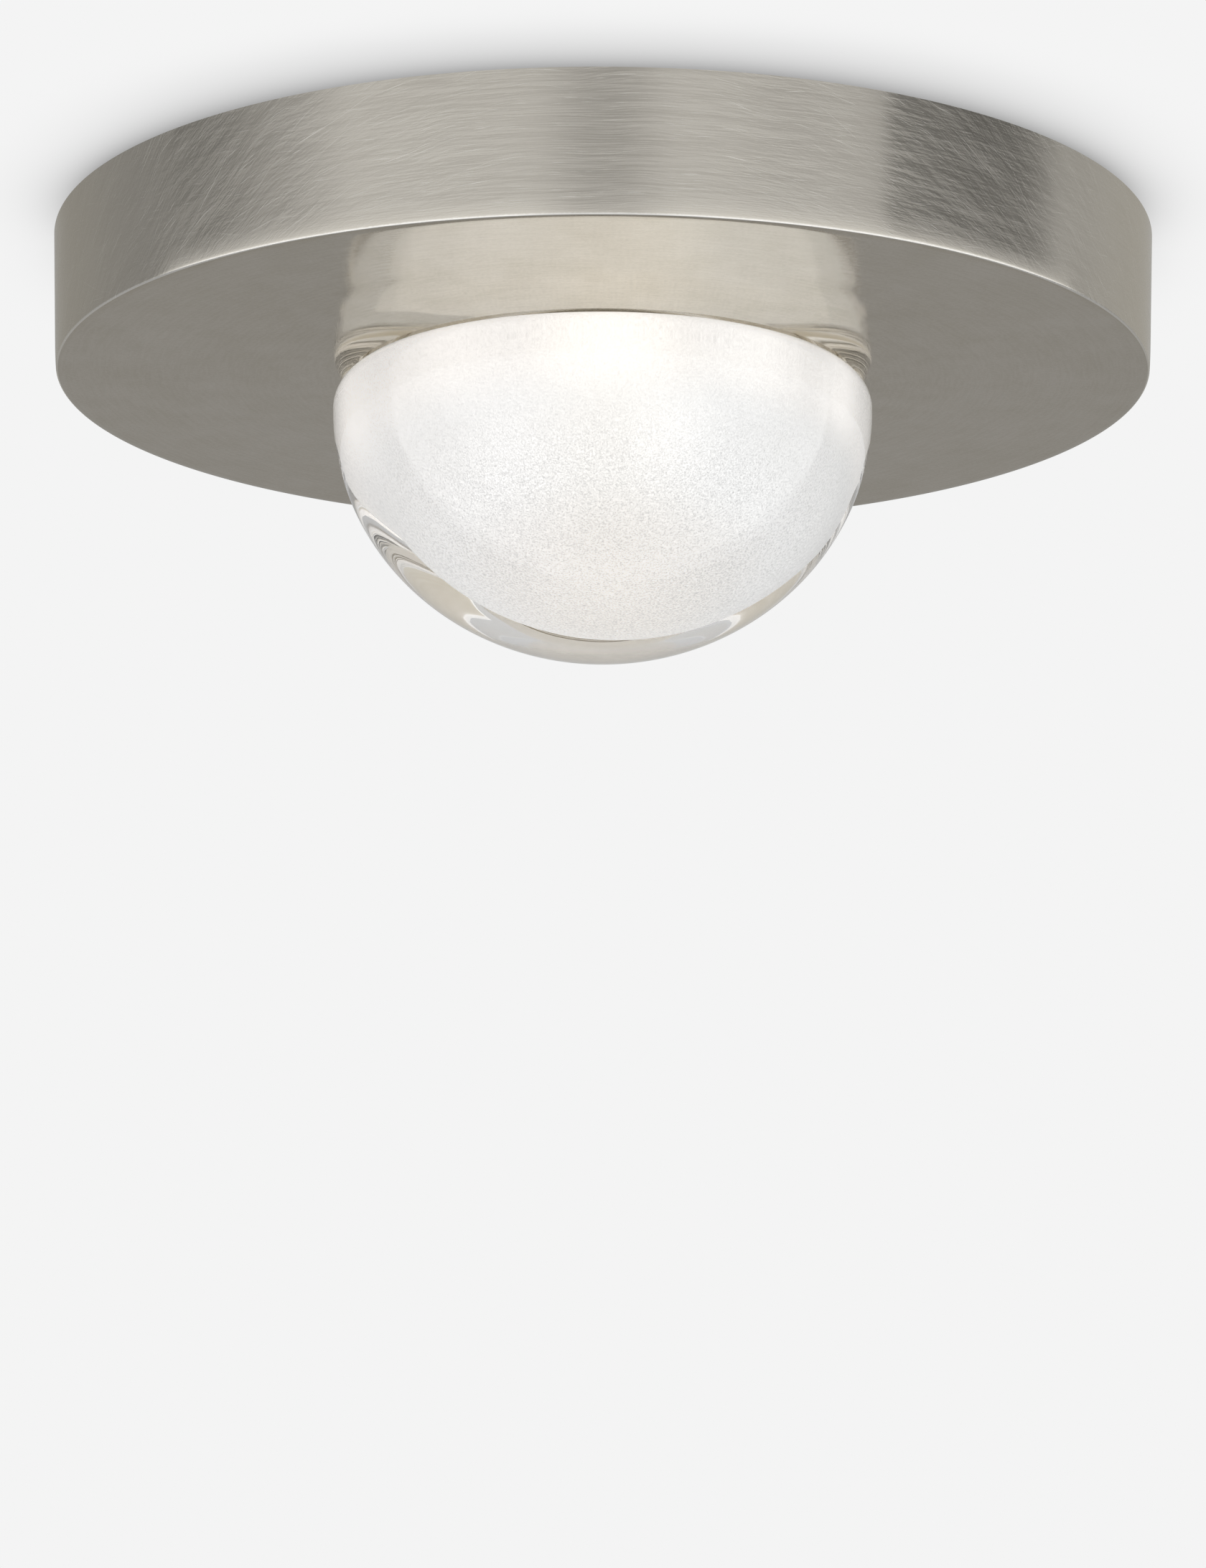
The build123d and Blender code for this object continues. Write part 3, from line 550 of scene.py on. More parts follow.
# Lamp light painted as a glow on the frosted hollow: its level, and the strength of its painted
# sparkle from its top down.
hollow_painted_glow = 0.48
hollow_painted_sparkle = (0.42, 0.95)
hollow_painted_sparkle_z = (-62.0 * MM, -84.0 * MM)
# Painted shade: a slightly darker zone at each side, by the distance from the middle, y and z where
# it begins.
hollow_painted_side_shade = -0.045
hollow_side_x = (8.0 * MM, 32.0 * MM)
hollow_side_y = (-11.5 * MM, -9.0 * MM)
hollow_side_z = (-54.0 * MM, -64.0 * MM)
# Painted soft highlights: centre, reach and strength of each.
hollow_painted_spots = (
    ((2.0 * MM, -58.0 * MM, -45.0 * MM), 62.0 * MM, 0.14),
    ((2.0 * MM, -58.0 * MM, -45.0 * MM), 28.0 * MM, 0.14),
    ((-42.0 * MM, -40.0 * MM, -46.0 * MM), 26.0 * MM, 0.10),
    ((43.0 * MM, -38.0 * MM, -46.0 * MM), 26.0 * MM, 0.14),
    ((-56.0 * MM, 10.0 * MM, -50.0 * MM), 22.0 * MM, 0.12),
    ((57.0 * MM, -3.0 * MM, -49.0 * MM), 20.0 * MM, 0.16),
    ((-28.0 * MM, -37.0 * MM, -73.0 * MM), 22.0 * MM, 0.05),
    ((19.0 * MM, -46.0 * MM, -73.0 * MM), 20.0 * MM, 0.07),
    ((0.0, 0.0, -100.0 * MM), 24.0 * MM, 0.03),
)
# Towards its top and its bottom, by z, the painted glow is warmer, painted a little brighter at the
# top and darker at the bottom.
hollow_top_z = (-66.0 * MM, -54.0 * MM)
hollow_painted_top_light = 0.05
hollow_bottom_z = (-82.0 * MM, -95.0 * MM)
hollow_painted_bottom_shade = -0.045
hollow_painted_end_hue = (1.0, 0.965, 0.93, 1.0)
# The painted glow's hue goes from plain to warm to cool along x.
hollow_plain = (1.0, 0.982, 0.968, 1.0)
hollow_warm = (1.0, 0.968, 0.92, 1.0)
hollow_warm_x = (-28.0 * MM, 0.0)
hollow_cool = (0.995, 0.995, 0.99, 1.0)
hollow_cool_x = (4.0 * MM, 36.0 * MM)
# The etched wall itself.
etched_dark = (0.50, 0.505, 0.51, 1.0)
etched_light = (0.62, 0.62, 0.62, 1.0)
etched_rough = 0.55
etched_grain_rough = 0.3
etched_relief = 0.03 * MM


def make_frosted_glass():
    """Etched white wall of the hollow; lamp light is painted on it as a glow warm in the middle,
    with soft highlights, side shade and sparkle.
    """
    material, tree, shader, place = new_material("frosted_hollow")
    x, y, z = split(tree, place)
    speckle = use_group(tree, grain, {"Vector": place, "Size": 0.0005, "Cloud": 0.02})
    # Lamp light painted on the wall as a glow, with a painted sparkle in the grain.
    spread = calc(tree, "SUBTRACT", speckle["Grain"], 0.5)
    painted_sparkle = lerp(tree, step_up(tree, z, *hollow_painted_sparkle_z), *hollow_painted_sparkle)
    painted_glow = times(tree, spread, painted_sparkle, hollow_painted_glow)
    # Painted shade in a zone at each side.
    aside = step_up(tree, calc(tree, "ABSOLUTE", x), *hollow_side_x)
    aside = times(tree, step_up(tree, y, *hollow_side_y), aside)
    aside = times(tree, step_up(tree, z, *hollow_side_z), aside)
    painted_glow = times(tree, aside, hollow_painted_side_shade, painted_glow)
    # Painted a little brighter at the top and darker at the bottom.
    top = step_up(tree, z, *hollow_top_z)
    bottom = step_up(tree, z, *hollow_bottom_z)
    painted_glow = times(tree, top, hollow_painted_top_light, painted_glow)
    painted_glow = times(tree, bottom, hollow_painted_bottom_shade, painted_glow)
    # Painted soft highlights.
    for centre, reach, strength in hollow_painted_spots:
        away = vector_calc(tree, "DISTANCE", place, centre)["Value"]
        painted_glow = times(tree, step_up(tree, away, reach, 0.0), strength, painted_glow)
    # Hue of the painted glow.
    hue = tint(tree, step_up(tree, x, *hollow_warm_x), hollow_plain, hollow_warm)
    hue = tint(tree, step_up(tree, x, *hollow_cool_x), hue, hollow_cool)
    hue = tint(tree, calc(tree, "MAXIMUM", top, bottom), hue, hollow_painted_end_hue, "MULTIPLY")
    link(tree, scaled(tree, hue, painted_glow), shader["Emission Color"])
    shader["Emission Strength"].default_value = 1.0
    link(tree, tint(tree, speckle["Grain"], etched_dark, etched_light), shader["Base Color"])
    rough = times(tree, speckle["Grain"], etched_grain_rough, etched_rough)
    link(tree, rough, shader["Roughness"])
    link(tree, bump(tree, speckle["Grain"], etched_relief), shader["Normal"])
    return material


# ---------------------------------------------------------------- meshes
# How near points are welded, the angle in degrees over which an edge is sharp, the precision of
# the disc's triangles, and how much of a hole's radius counts as inside it.
weld_distance = 0.001 * MM
sharp_angle = 32
cut_tolerance = 1e-7
hole_margin = 0.999


def build_mesh(name, points, face_sets, materials, face_materials):
    """Mesh from one array of points and arrays of faces, welded where points coincide."""
    mesh = bpy.data.meshes.new(name)
    corners = np.concatenate([faces.ravel() for faces in face_sets])
    counts = np.concatenate([np.full(len(faces), faces.shape[1]) for faces in face_sets])
    starts = np.concatenate([[0], np.cumsum(counts)[:-1]])
    mesh.vertices.add(len(points))
    mesh.vertices.foreach_set("co", points.astype(np.float32).ravel())
    mesh.loops.add(len(corners))
    mesh.loops.foreach_set("vertex_index", corners.astype(np.int32))
    mesh.polygons.add(len(starts))
    mesh.polygons.foreach_set("loop_start", starts.astype(np.int32))
    mesh.polygons.foreach_set("material_index", face_materials.astype(np.int32))
    mesh.update(calc_edges=True)
    welded = bmesh.new()
    welded.from_mesh(mesh)
    bmesh.ops.remove_doubles(welded, verts=welded.verts, dist=weld_distance)
    welded.to_mesh(mesh)
    welded.free()
    mesh.polygons.foreach_set("use_smooth", np.ones(len(mesh.polygons), bool))
    mesh.set_sharp_from_angle(angle=math.radians(sharp_angle))
    for material in materials:
        mesh.materials.append(material)
    piece = bpy.data.objects.new(name, mesh)
    bpy.context.scene.collection.objects.link(piece)
    return piece


def arc(centre, radius, start, end, count):
    """Circle arc in the half plane (radius, height): the centre plus radius times (cos, sin)."""
    angle = np.radians(np.linspace(start, end, count))
    return np.stack([centre[0] + radius * np.cos(angle), centre[1] + radius * np.sin(angle)], axis=1)


def revolved(profile, steps, centre=(0.0, 0.0)):
    """Surface of revolution: point (i, j) is profile point i turned by the angle j * 2 pi / steps.

    Where the profile starts or ends on the axis, the ring there is one point and its faces are
    triangles. The profile runs with the body on its left, so that faces point outwards.
    """
    angle = np.pi / 2 + np.arange(steps) * 2 * np.pi / steps
    circle = np.stack([np.cos(angle), np.sin(angle)], axis=1)
    radius, height = profile[:, 0], profile[:, 1]
    points = np.empty((len(profile), steps, 3))
    points[:, :, :2] = radius[:, None, None] * circle[None] + np.array(centre)
    points[:, :, 2] = height[:, None]
    index = np.arange(len(profile) * steps).reshape(len(profile), steps)
    right = np.roll(index, -1, axis=1)
    quads = np.stack([index[:-1], right[:-1], right[1:], index[1:]], axis=-1)
    first, last = int(radius[0] < 1e-9), int(radius[-1] < 1e-9)
    faces = [quads[first : len(quads) - last].reshape(-1, 4)]
    if first:
        faces.append(quads[0][:, [0, 2, 3]])
    if last:
        faces.append(quads[-1][:, [0, 1, 2]])
    if first:
        points[0] = points[0].mean(axis=0)
    if last:
        points[-1] = points[-1].mean(axis=0)
    return points.reshape(-1, 3), faces


def smooth(value, low, high):
    """Smooth step from 0 at low to 1 at high."""
    share = np.clip((value - low) / (high - low), 0, 1)
    return share * share * (3 - 2 * share)


def running_sum(slope, place):
    """Integral of a slope over its places, by the trapezium rule, from 0."""
    return np.concatenate([[0], np.cumsum((slope[1:] + slope[:-1]) / 2 * np.diff(place))])


def face_profile(inner, outer):
    """Canopy's face from its disc to its edge: its rise is the running sum of the pressed slope."""
    roll_start = outer - face_roll_width
    rolling = np.linspace(roll_start, outer, face_roll_steps)
    radius = np.concatenate([np.linspace(inner, roll_start, face_steps), rolling[1:]])
    ring = np.exp(-(((radius - face_ring_radius) / face_ring_width) ** 2))
    inward = face_slope_back * smooth(radius, *face_slope_turn)
    outward = face_slope_out * smooth(radius, *face_slope_start) + face_ring_slope * ring
    slope = np.tan(np.radians(outward - inward))
    rise = running_sum(slope, radius)
    rise -= rise[-1] * smooth(radius, face_slope_start[0], outer)
    rolled = np.clip((radius - outer + face_roll_width) / face_roll_width, 0, 1)
    rise += math.tan(math.radians(face_roll)) * face_roll_width * rolled**4 / 4
    return np.stack([radius, face_z + rise], axis=1)


def on_circle(radius, turns, hole):
    """Holes of one radius on a circle about the axis, at turns in degrees."""
    angles = [math.radians(turn) for turn in turns]
    return [(radius * math.cos(angle), radius * math.sin(angle), hole) for angle in angles]


def punched_disc(radius, low, high, holes, steps):
    """Flat disc with round holes, each given as (x, y, radius).

    Its two faces are triangulated as one, and triangles whose middle lies in a hole are dropped;
    the walls of the holes come last.
    """
    turn = np.pi / 2 + np.arange(steps) * 2 * np.pi / steps
    outer = radius * np.stack([np.cos(turn), np.sin(turn)], axis=1)
    spoke = np.arange(hole_steps) * 2 * np.pi / hole_steps
    circle = np.stack([np.cos(spoke), np.sin(spoke)], axis=1)
    rings = [outer] + [np.array([x, y]) + r * circle for x, y, r in holes]
    flat = np.concatenate(rings)
    starts = np.cumsum([0] + [len(ring) for ring in rings])
    edges = []
    for start, ring in zip(starts, rings):
        edges += [(start + k, start + (k + 1) % len(ring)) for k in range(len(ring))]
    found = delaunay_2d_cdt([Vector(p) for p in flat], edges, [], 0, cut_tolerance)
    triangles = np.array([face for face in found[2]])
    corner = np.array([tuple(p) for p in found[0]])
    middle = corner[triangles].mean(axis=1)
    kept = np.ones(len(triangles), bool)
    for x, y, r in holes:
        kept &= np.hypot(middle[:, 0] - x, middle[:, 1] - y) > r * hole_margin
    triangles = triangles[kept]
    a, b, c = (corner[triangles[:, k]] for k in range(3))
    to_b = b - a
    to_c = c - a
    leftward = to_b[:, 0] * to_c[:, 1] - to_b[:, 1] * to_c[:, 0] > 0
    triangles = np.where(leftward[:, None], triangles, triangles[:, ::-1])
    count = len(corner)
    points = np.concatenate([np.column_stack([corner, np.full(count, z)]) for z in (low, high)])
    walls = []
    for start, ring in zip(starts[1:-1], rings[1:]):
        here = start + np.arange(len(ring))
        there = start + (np.arange(len(ring)) + 1) % len(ring)
        walls.append(np.stack([there, here, here + count, there + count], axis=1))
    return points, [triangles[:, ::-1], triangles + count, np.concatenate(walls)]


def weld_stud(place, height):
    """Weld stud on the pan's inner face, its foot sunk a little into the sheet."""
    foot = inner_z - weld_stud_sunk
    top = inner_z + height
    shoulder = (weld_stud_radius, top - weld_stud_edge)
    crown = (weld_stud_radius - weld_stud_edge, top)
    profile = np.array([(0, foot), (weld_stud_radius, foot), shoulder, crown, (0, top)])
    return revolved(profile, weld_stud_steps, place)


def join_surfaces(parts):
    """Several (points, face sets, material of all or of each face) surfaces as one set of arrays."""
    points, faces, slots, offset = [], [], [], 0
    for part_points, part_faces, part_slots in parts:
        for face_set in part_faces:
            faces.append(face_set + offset)
            slots.append(np.broadcast_to(part_slots, len(face_set)))
        points.append(part_points)
        offset += len(part_points)
    return np.concatenate(points), faces, np.concatenate(slots)


def make_canopy():
    """Spun pan as one closed shell: pressed face, rounded edge, flared band, rim, inside and studs.

    The face ends rolled up by face_roll, the band starts rolled in by band_roll, and the rounded
    edge is the arc between their two tilts.
    """
    face_tilt = math.radians(face_roll)
    flare = math.atan2(rim_radius - foot_radius, -face_z)
    band_tilt = flare + math.radians(band_roll)
    face_rise = math.tan(face_tilt) * face_roll_width / 4
    band_foot_z = face_z + face_rise + edge_radius * (math.cos(face_tilt) - math.sin(band_tilt))
    roll_end_z = band_foot_z + band_roll_height
    rolling_z = np.linspace(band_foot_z, roll_end_z, band_steps)
    band_z = np.concatenate([rolling_z, np.linspace(roll_end_z, 0.0, band_steps)[1:]])
    unrolled = np.clip(1 - (band_z - band_foot_z) / band_roll_height, 0, 1)
    tilt = np.tan(flare + math.radians(band_roll) * unrolled**2)
    spread = running_sum(tilt, band_z)
    band_radius = rim_radius - spread[-1] + spread
    edge_centre_radius = band_radius[0] - edge_radius * math.cos(band_tilt)
    outer_face = face_profile(disc_radius, edge_centre_radius + edge_radius * math.sin(face_tilt))
    edge_centre = (edge_centre_radius, outer_face[-1, 1] + edge_radius * math.cos(face_tilt))
    edge_end = -math.degrees(band_tilt)
    outer_edge = arc(edge_centre, edge_radius, face_roll - 90, edge_end, edge_steps)[1:]
    outer_band = np.stack([band_radius, band_z], axis=1)[1:]
    top = np.linspace((rim_radius, 0.0), (rim_radius - wall, 0.0), rim_steps)[1:]
    inner_centre = (foot_radius - wall - inner_edge_radius, inner_z + inner_edge_radius)
    inner_edge = arc(inner_centre, inner_edge_radius, -math.degrees(flare), -90, inner_edge_steps)
    inner_band = np.linspace(top[-1], inner_edge[0], inner_band_steps)[1:-1]
    inner_face = np.linspace(inner_edge[-1], (disc_radius, inner_z), inner_face_steps)[1:]
    rows = [outer_face, outer_edge, outer_band, top, inner_band, inner_edge, inner_face]
    profile = np.concatenate(rows)
    points, faces = revolved(profile, canopy_steps)
    materials = [make_face_nickel(), make_band_nickel(), make_inner_nickel()]
    face_slot, band_slot, inside_slot = range(len(materials))
    face_rows = len(outer_face) - 1
    band_rows = len(outer_edge) + len(outer_band)
    row_slots = np.full(len(profile) - 1, inside_slot)
    row_slots[:face_rows] = face_slot
    row_slots[face_rows : face_rows + band_rows] = band_slot
    holes = [(0.0, side * stud_circle, hanger_hole) for side in (-1, 1)]
    holes += on_circle(stud_circle, pan_stud_turns, pan_stud_hole)
    holes += on_circle(screw_circle, collar_turns, collar_hole)
    holes += [(grommet_x, 0.0, grommet_hole)]
    disc_points, disc_faces = punched_disc(disc_radius, face_z, inner_z, holes, canopy_steps)
    parts = [(points, faces, np.repeat(row_slots, canopy_steps))]
    parts += [(disc_points, disc_faces[:1], face_slot), (disc_points, disc_faces[1:], inside_slot)]
    parts += [(*weld_stud(place, height), inside_slot) for place, height in weld_studs]
    points, faces, slots = join_surfaces(parts)
    piece = build_mesh("canopy_spun_shell", points, faces, materials, slots)
    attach(piece, "canopy")
    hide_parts("canopy_pan")


def make_glass():
    """Thick glass: outer half-ball with a rounded shoulder, flat rim and a frosted hollow.

    The outside is an ellipse below its widest plane and a circle arc above it. The hollow is an
    ellipse centred on the canopy's face, and leans sideways a little away from its round seat.
    """
    rise = glass_rim_z - glass_widest_z
    inward = glass_radius - glass_rim_radius
    shoulder = (inward**2 + rise**2) / (2 * inward)
    shoulder_end = math.degrees(math.asin(rise / shoulder))
    shoulder_centre = (glass_radius - shoulder, glass_widest_z)
    swing = np.radians(np.linspace(0, 90, bowl_steps))
    bowl_z = glass_widest_z - (glass_widest_z - glass_low.z) * np.cos(swing)
    bowl = np.stack([glass_radius * np.sin(swing), bowl_z], axis=1)
    shoulder_arc = arc(shoulder_centre, shoulder, 0, shoulder_end, shoulder_steps)[1:]
    rim = np.linspace(shoulder_arc[-1], (hollow_radius, glass_rim_z), glass_rim_steps)[1:]
    seat_angle = math.asin((face_z - hollow_seat_z) / hollow_depth)
    back = np.linspace(seat_angle, math.pi / 2, hollow_steps)
    hollow = np.stack([hollow_radius * np.cos(back), face_z - hollow_depth * np.sin(back)], axis=1)
    shelf = hollow_radius - hollow[0, 0]
    hollow[:, 0] += shelf * (1 - smooth(hollow_seat_z - hollow[:, 1], 0.0, hollow_blend))
    seat = np.linspace(rim[-1], (hollow_radius, hollow_seat_z), seat_steps)[1:-1]
    profile = np.concatenate([bowl, shoulder_arc, rim, seat, hollow])
    profile[[0, -1], 0] = 0.0
    points, faces = revolved(profile, glass_steps)
    clear_rows = len(bowl) + len(shoulder_arc) + len(rim) - 1
    hollow_start = clear_rows * glass_steps
    depth = hollow_seat_z - points[hollow_start:, 2]
    points[hollow_start:, 0] += hollow_lean * smooth(depth, 0.0, hollow_lean_depth)
    # The rows of quads come first, then the triangles round the lowest point and the hollow's.
    quad_rows = np.arange(1, len(profile) - 2)
    slots = [np.repeat((quad_rows >= clear_rows).astype(int), glass_steps)]
    slots += [np.zeros(glass_steps, int), np.ones(glass_steps, int)]
    materials = [make_clear_glass(), make_frosted_glass()]
    piece = build_mesh("glass_half_ball", points, faces, materials, np.concatenate(slots))
    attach(piece, "dome")
    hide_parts("glass_dome")


# ---------------------------------------------------------------- finishes of the pieces inside
# Plated steel: its darkest and lightest tone, the shares of bloom and rolling marks between them,
# what its roughness starts at and ranges over, and the turn and lengths of the rolling marks.
plated_tones = (0.78, 1.12)
plated_bloom_share = 0.7
plated_mark_share = 0.3
plated_rough = (-0.06, 0.14)
plated_relief = 0.01 * MM
rolling_turn = 0.4
rolling_lengths = (12.0 * MM, 0.4 * MM, 12.0 * MM)
# Moulded pieces: the same tones and roughness.
moulded_tones = (0.9, 1.06)
moulded_rough = (-0.05, 0.1)


def two_tones(colour, tones):
    """Darker and lighter tone of a colour."""
    return [tuple(min(1.0, share * channel) for channel in colour) + (1.0,) for share in tones]


def make_plated(name, colour, roughness):
    """Plated steel: cloudy bloom, fine rolling marks and small changes of gloss."""
    material, tree, shader, place = new_material(name)
    marks = use_group(tree, grain, {"Vector": place, "Size": 0.0006, "Cloud": 0.008})
    drawn = stretched(tree, place, rolling_turn, rolling_lengths)
    rolled = noise(tree, drawn, 1.0)
    blend = times(tree, rolled, plated_mark_share)
    blend = times(tree, marks["Clouds"], plated_bloom_share, blend)
    tone = tint(tree, contrast(tree, blend), *two_tones(colour, plated_tones))
    link(tree, tone, shader["Base Color"])
    least, more = plated_rough
    rough = times(tree, marks["Grain"], more, roughness + least)
    link(tree, rough, shader["Roughness"])
    link(tree, bump(tree, rolled, plated_relief), shader["Normal"])
    shader["Metallic"].default_value = 1.0
    return material


def make_moulded(name, colour, roughness, texture=0.0005, depth=0.00003, painted_glow=0.0):
    """Moulded plastic, rubber or paint: a fine grain, faint flow clouds and any lamp light painted
    into it as a glow.
    """
    material, tree, shader, place = new_material(name)
    surface = use_group(tree, grain, {"Vector": place, "Size": texture, "Cloud": 0.012})
    tone = tint(tree, contrast(tree, surface["Clouds"]), *two_tones(colour, moulded_tones))
    link(tree, tone, shader["Base Color"])
    link(tree, tone, shader["Emission Color"])
    shader["Emission Strength"].default_value = painted_glow
    least, more = moulded_rough
    rough = times(tree, surface["Grain"], more, roughness + least)
    link(tree, rough, shader["Roughness"])
    link(tree, bump(tree, surface["Grain"], depth), shader["Normal"])
    return material


inside_finishes = {
    "white_metal": make_moulded("white_powder_coat", (0.86, 0.86, 0.84), 0.45, 0.0007, 0.00002),
    "zinc_steel": make_plated("zinc_plate", (0.62, 0.63, 0.64), 0.34),
    "bright_nickel": make_plated("polished_nickel", (0.72, 0.70, 0.67), 0.14),
    "aluminium": make_plated("extruded_aluminium", (0.74, 0.75, 0.76), 0.36),
    # The gasket's glow is lamp light painted into it.
    "silicone": make_moulded("clear_silicone", (0.88, 0.83, 0.75), 0.38, painted_glow=0.12),
    "grey_pad": make_moulded("thermal_pad_grey", (0.40, 0.44, 0.48), 0.8),
    "board_white": make_moulded("white_solder_mask", (0.86, 0.86, 0.84), 0.4),
    "chip_yellow": make_moulded("phosphor_yellow", (0.86, 0.72, 0.28), 0.35),
    "connector_white": make_moulded("connector_nylon", (0.86, 0.86, 0.83), 0.4),
    "opal_plastic": make_moulded("opal_cover", (0.88, 0.88, 0.86), 0.5),
    "black_rubber": make_moulded("grommet_rubber", (0.03, 0.03, 0.03), 0.6),
    "red_insulation": make_moulded("red_wire", (0.55, 0.03, 0.025), 0.35),
    "black_insulation": make_moulded("black_wire", (0.02, 0.02, 0.02), 0.35),
    "white_insulation": make_moulded("white_wire", (0.80, 0.80, 0.77), 0.38),
    "green_insulation": make_moulded("green_wire", (0.03, 0.26, 0.07), 0.38),
    "case_plastic": make_moulded("driver_case_plastic", (0.78, 0.78, 0.76), 0.55, 0.0009, 0.00006),
    "circuit_green": make_moulded("solder_mask_green", (0.03, 0.20, 0.08), 0.35),
    "core_yellow": make_moulded("winding_tape", (0.72, 0.55, 0.09), 0.4),
    "can_black": make_moulded("capacitor_sleeve", (0.03, 0.035, 0.07), 0.3),
    "terminal_plastic": make_moulded("terminal_nylon", (0.80, 0.78, 0.72), 0.45),
    "green_steel": make_moulded("green_dipped_steel", (0.03, 0.28, 0.09), 0.3),
    "brass": make_plated("tinned_brass", (0.74, 0.62, 0.36), 0.3),
}


def finish_inside_pieces():
    """Gives each piece that keeps its own mesh the finish of its material slot."""
    for part in frame["record"]["subparts"]:
        if part["material_slot"] in inside_finishes:
            node = frame["nodes"][part["node"]]
            node.data.materials.clear()
            node.data.materials.append(inside_finishes[part["material_slot"]])


# ---------------------------------------------------------------- room, light and camera
# Brightness of the room by direction round the light, from the back (-180) by the front (0).
room_by_azimuth = (
    (-180, 0.46), (-150, 0.39), (-133, 0.39), (-106, 0.33), (-94, 0.25), (-84, 0.265),
    (-64, 0.48), (-52, 0.73), (-14, 0.70), (-3, 0.51), (3, 0.51), (14, 0.70),
    (24, 0.69), (36, 0.61), (52, 0.60), (58, 0.58), (60.5, 0.25), (80, 0.165),
    (94, 0.19), (101, 0.29), (107, 0.48), (130, 0.53), (180, 0.47),
)
# Below, by z of the direction: a light floor in front, with a darker middle by x, and the back.
room_below_z = (0.265, 0.12)
room_front_below = 1.08
room_centre_below = 0.78
room_centre_x = (0.06, 0.28)
room_back_below = 0.37
room_back_z = (-0.02, 0.10)
# Where the light floor in front ends: y of the direction, as a middle, a change with x and a width.
room_split = (0.255, 0.09, 0.03)
# Above, by z, and where rays that went through glass see the paler background, by y.
room_above = 0.9
room_above_z = (0.45, 0.7)
backdrop_y = (-0.2, 0.3)


def make_room_light():
    """Soft studio: a plain grey to the camera, and a pattern by direction that the metal mirrors."""
    world = bpy.data.worlds.new("soft_studio")
    bpy.context.scene.world = world
    world.use_nodes = True
    tree = world.node_tree
    x, y, z = split(tree, tree.nodes.new("ShaderNodeTexCoord").outputs["Generated"])
    azimuth = calc(tree, "ARCTAN2", x, times(tree, y, -1.0))
    share = times(tree, azimuth, 1 / (2 * math.pi), 0.5)
    around = ramp(tree, share, [((turn + 180) / 360, level) for turn, level in room_by_azimuth])
    aside = step_up(tree, calc(tree, "ABSOLUTE", x), *room_centre_x)
    front = lerp(tree, aside, room_centre_below, room_front_below)
    middle, change, width = room_split
    beyond = calc(tree, "SUBTRACT", y, times(tree, x, change, middle))
    back = lerp(tree, step_up(tree, z, *room_back_z), room_back_below, around)
    below = lerp(tree, step_up(tree, beyond, -width, width), front, back)
    level = lerp(tree, step_up(tree, z, *room_below_z, "LINEAR"), around, below)
    level = lerp(tree, step_up(tree, z, *room_above_z), level, room_above)
    ray = tree.nodes.new("ShaderNodeLightPath").outputs
    through_glass = times(tree, ray["Is Transmission Ray"], step_up(tree, y, *backdrop_y))
    # A ray is mirrored if it has met metal or glass as a mirror, and no matt surface.
    mirrored = calc(tree, "MINIMUM", ray["Glossy Depth"], 1.0)
    mirrored = calc(tree, "SUBTRACT", mirrored, ray["Diffuse Depth"], clamp=True)
    backdrop = lerp(tree, mirrored, background_seen, background_mirrored)
    level = lerp(tree, through_glass, level, backdrop)
    seen = lerp(tree, ray["Is Camera Ray"], level, background_grey)
    grey = put(tree, "ShaderNodeCombineColor", {0: seen, 1: seen, 2: seen}).outputs[0]
    link(tree, grey, tree.nodes["Background"].inputs["Color"])


def flat_ring(name, inner, outer, z, material):
    """Flat ring that faces down, as part of the stage."""
    profile = np.array([(inner, z), (outer * stage_middle, z), (outer, z)])
    points, faces = revolved(profile, stage_steps)
    piece = build_mesh(name, points, faces, [material], np.zeros(sum(map(len, faces))))
    return piece


def one_sided(tree, colour):
    """Plain pale surface, seen from its front only."""
    plain = put(tree, "ShaderNodeEmission", {"Color": colour}).outputs[0]
    behind = tree.nodes.new("ShaderNodeNewGeometry").outputs["Backfacing"]
    clear = tree.nodes.new("ShaderNodeBsdfTransparent").outputs[0]
    both = put(tree, "ShaderNodeMixShader", {0: behind, 1: plain, 2: clear}).outputs[0]
    link(tree, both, tree.nodes["Material Output"].inputs["Surface"])


def make_ceiling_paint():
    """Ceiling with the canopy's soft shadow.

    The shadow falls off as exp(-distance / reach) from the rim. It is deepest and widest on the
    camera's side, as light comes from behind, and fades round the sides.
    """
    material, tree, _, place = new_material("ceiling_paint")
    radius = vector_calc(tree, "LENGTH", place)["Value"]
    frontness = calc(tree, "DIVIDE", times(tree, split(tree, place)["Y"], -1.0), radius)
    away = calc(tree, "SUBTRACT", radius, rim_radius)
    widening = step_up(tree, frontness, *shadow_reach_turn)
    reach = lerp(tree, widening, shadow_side_reach, shadow_front_reach)
    deepening = step_up(tree, frontness, *shadow_depth_turn)
    depth = lerp(tree, deepening, shadow_side_depth, shadow_front_depth)
    fall = calc(tree, "EXPONENT", times(tree, -1.0, calc(tree, "DIVIDE", away, reach)))
    ended = step_up(tree, away, *shadow_end)
    shade = times(tree, times(tree, fall, depth), ended)
    soft = use_group(tree, grain, {"Vector": place, "Size": 0.002, "Cloud": 0.05})
    uneven = calc(tree, "SUBTRACT", soft["Grain"], 0.5)
    uneven = times(tree, uneven, shadow_grain, 1.0)
    tone = calc(tree, "SUBTRACT", 1.0, times(tree, shade, uneven))
    level = times(tree, tone, background_grey)
    one_sided(tree, put(tree, "ShaderNodeCombineColor", {0: level, 1: level, 2: level}).outputs[0])
    return material


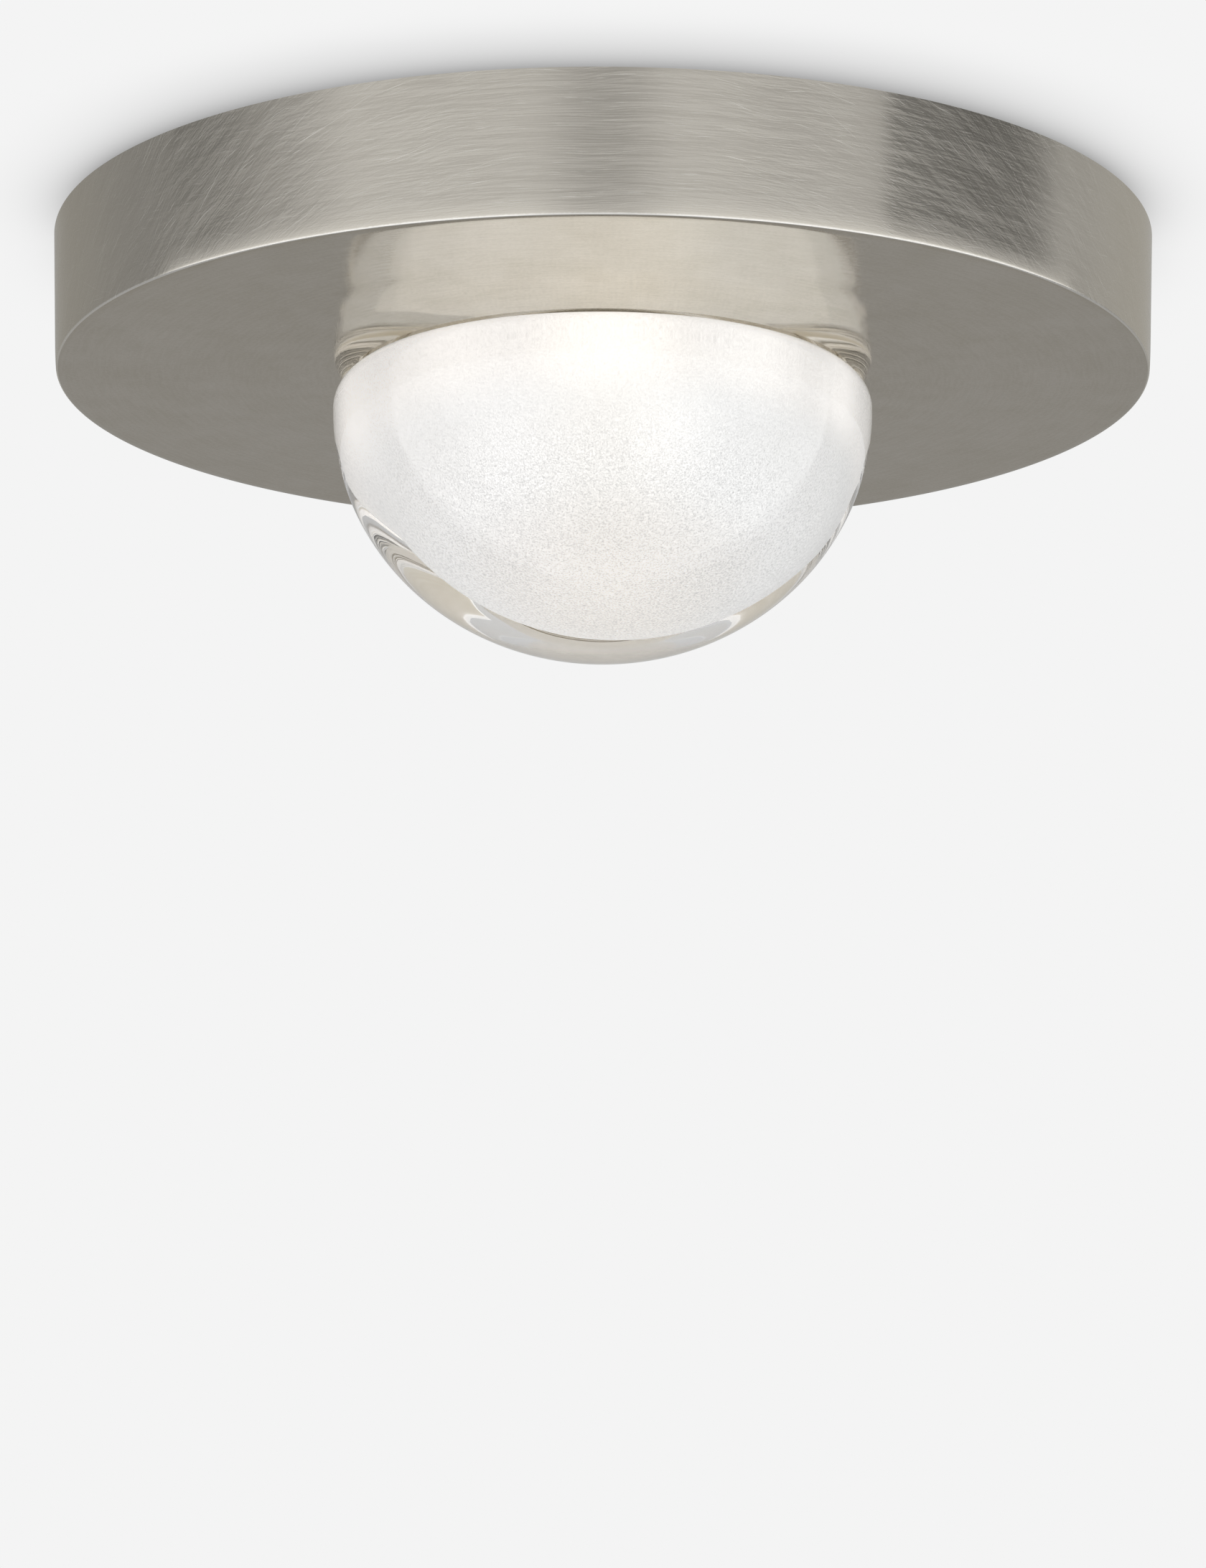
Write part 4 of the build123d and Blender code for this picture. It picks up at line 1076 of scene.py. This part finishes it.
def make_floor_paint():
    """Floor in the plain background grey, very slightly cloudy."""
    material, tree, _, place = new_material("floor_paint")
    soft = use_group(tree, grain, {"Vector": place, "Size": 0.1, "Cloud": 2.0})
    tones = [(background_grey * share,) * 3 + (1.0,) for share in (0.999, 1.001)]
    one_sided(tree, tint(tree, soft["Clouds"], *tones))
    return material


def make_stage():
    """Ceiling round the canopy's rim and a pale floor far below, for the camera only."""
    ceiling_hole = rim_radius - ceiling_lap
    ceiling = flat_ring("ceiling", ceiling_hole, ceiling_reach, ceiling_gap, make_ceiling_paint())
    floor = flat_ring("floor", floor_hole, floor_reach, floor_z, make_floor_paint())
    floor.data.flip_normals()
    for piece in (ceiling, floor):
        for ray in ("visible_glossy", "visible_transmission", "visible_diffuse", "visible_shadow"):
            setattr(piece, ray, False)


def make_camera():
    """Camera at the photograph's place: turned by yaw about Z, then pitched up, then rolled."""
    turn = Matrix.Rotation(camera_yaw, 3, "Z")
    forward = turn @ Vector((0, 1, 0))
    right = turn @ Vector((1, 0, 0))
    up = Vector((0, 0, 1))
    look = forward * math.cos(camera_pitch) + up * math.sin(camera_pitch)
    head = up * math.cos(camera_pitch) - forward * math.sin(camera_pitch)
    side = right * math.cos(camera_roll) + head * math.sin(camera_roll)
    head = head * math.cos(camera_roll) - right * math.sin(camera_roll)
    data = bpy.data.cameras.new("camera")
    data.sensor_width = camera_sensor
    data.lens = camera_sensor * camera_focal_pixels / image_height
    camera = bpy.data.objects.new("camera", data)
    axes = Matrix((side, head, -look)).transposed()
    camera.matrix_world = Matrix.Translation(camera_place) @ axes.to_4x4()
    bpy.context.scene.collection.objects.link(camera)
    bpy.context.scene.camera = camera


def set_picture_look():
    """Plain colours; light may reach matt surfaces through the glass."""
    scene = bpy.context.scene
    scene.view_settings.view_transform = "Standard"
    scene.cycles.caustics_reflective = True
    scene.cycles.caustics_refractive = True
    scene.cycles.max_bounces = 40
    scene.cycles.glossy_bounces = 24
    scene.cycles.transmission_bounces = 24


make_camera()
make_canopy()
make_glass()
finish_inside_pieces()
make_room_light()
make_stage()
set_picture_look()
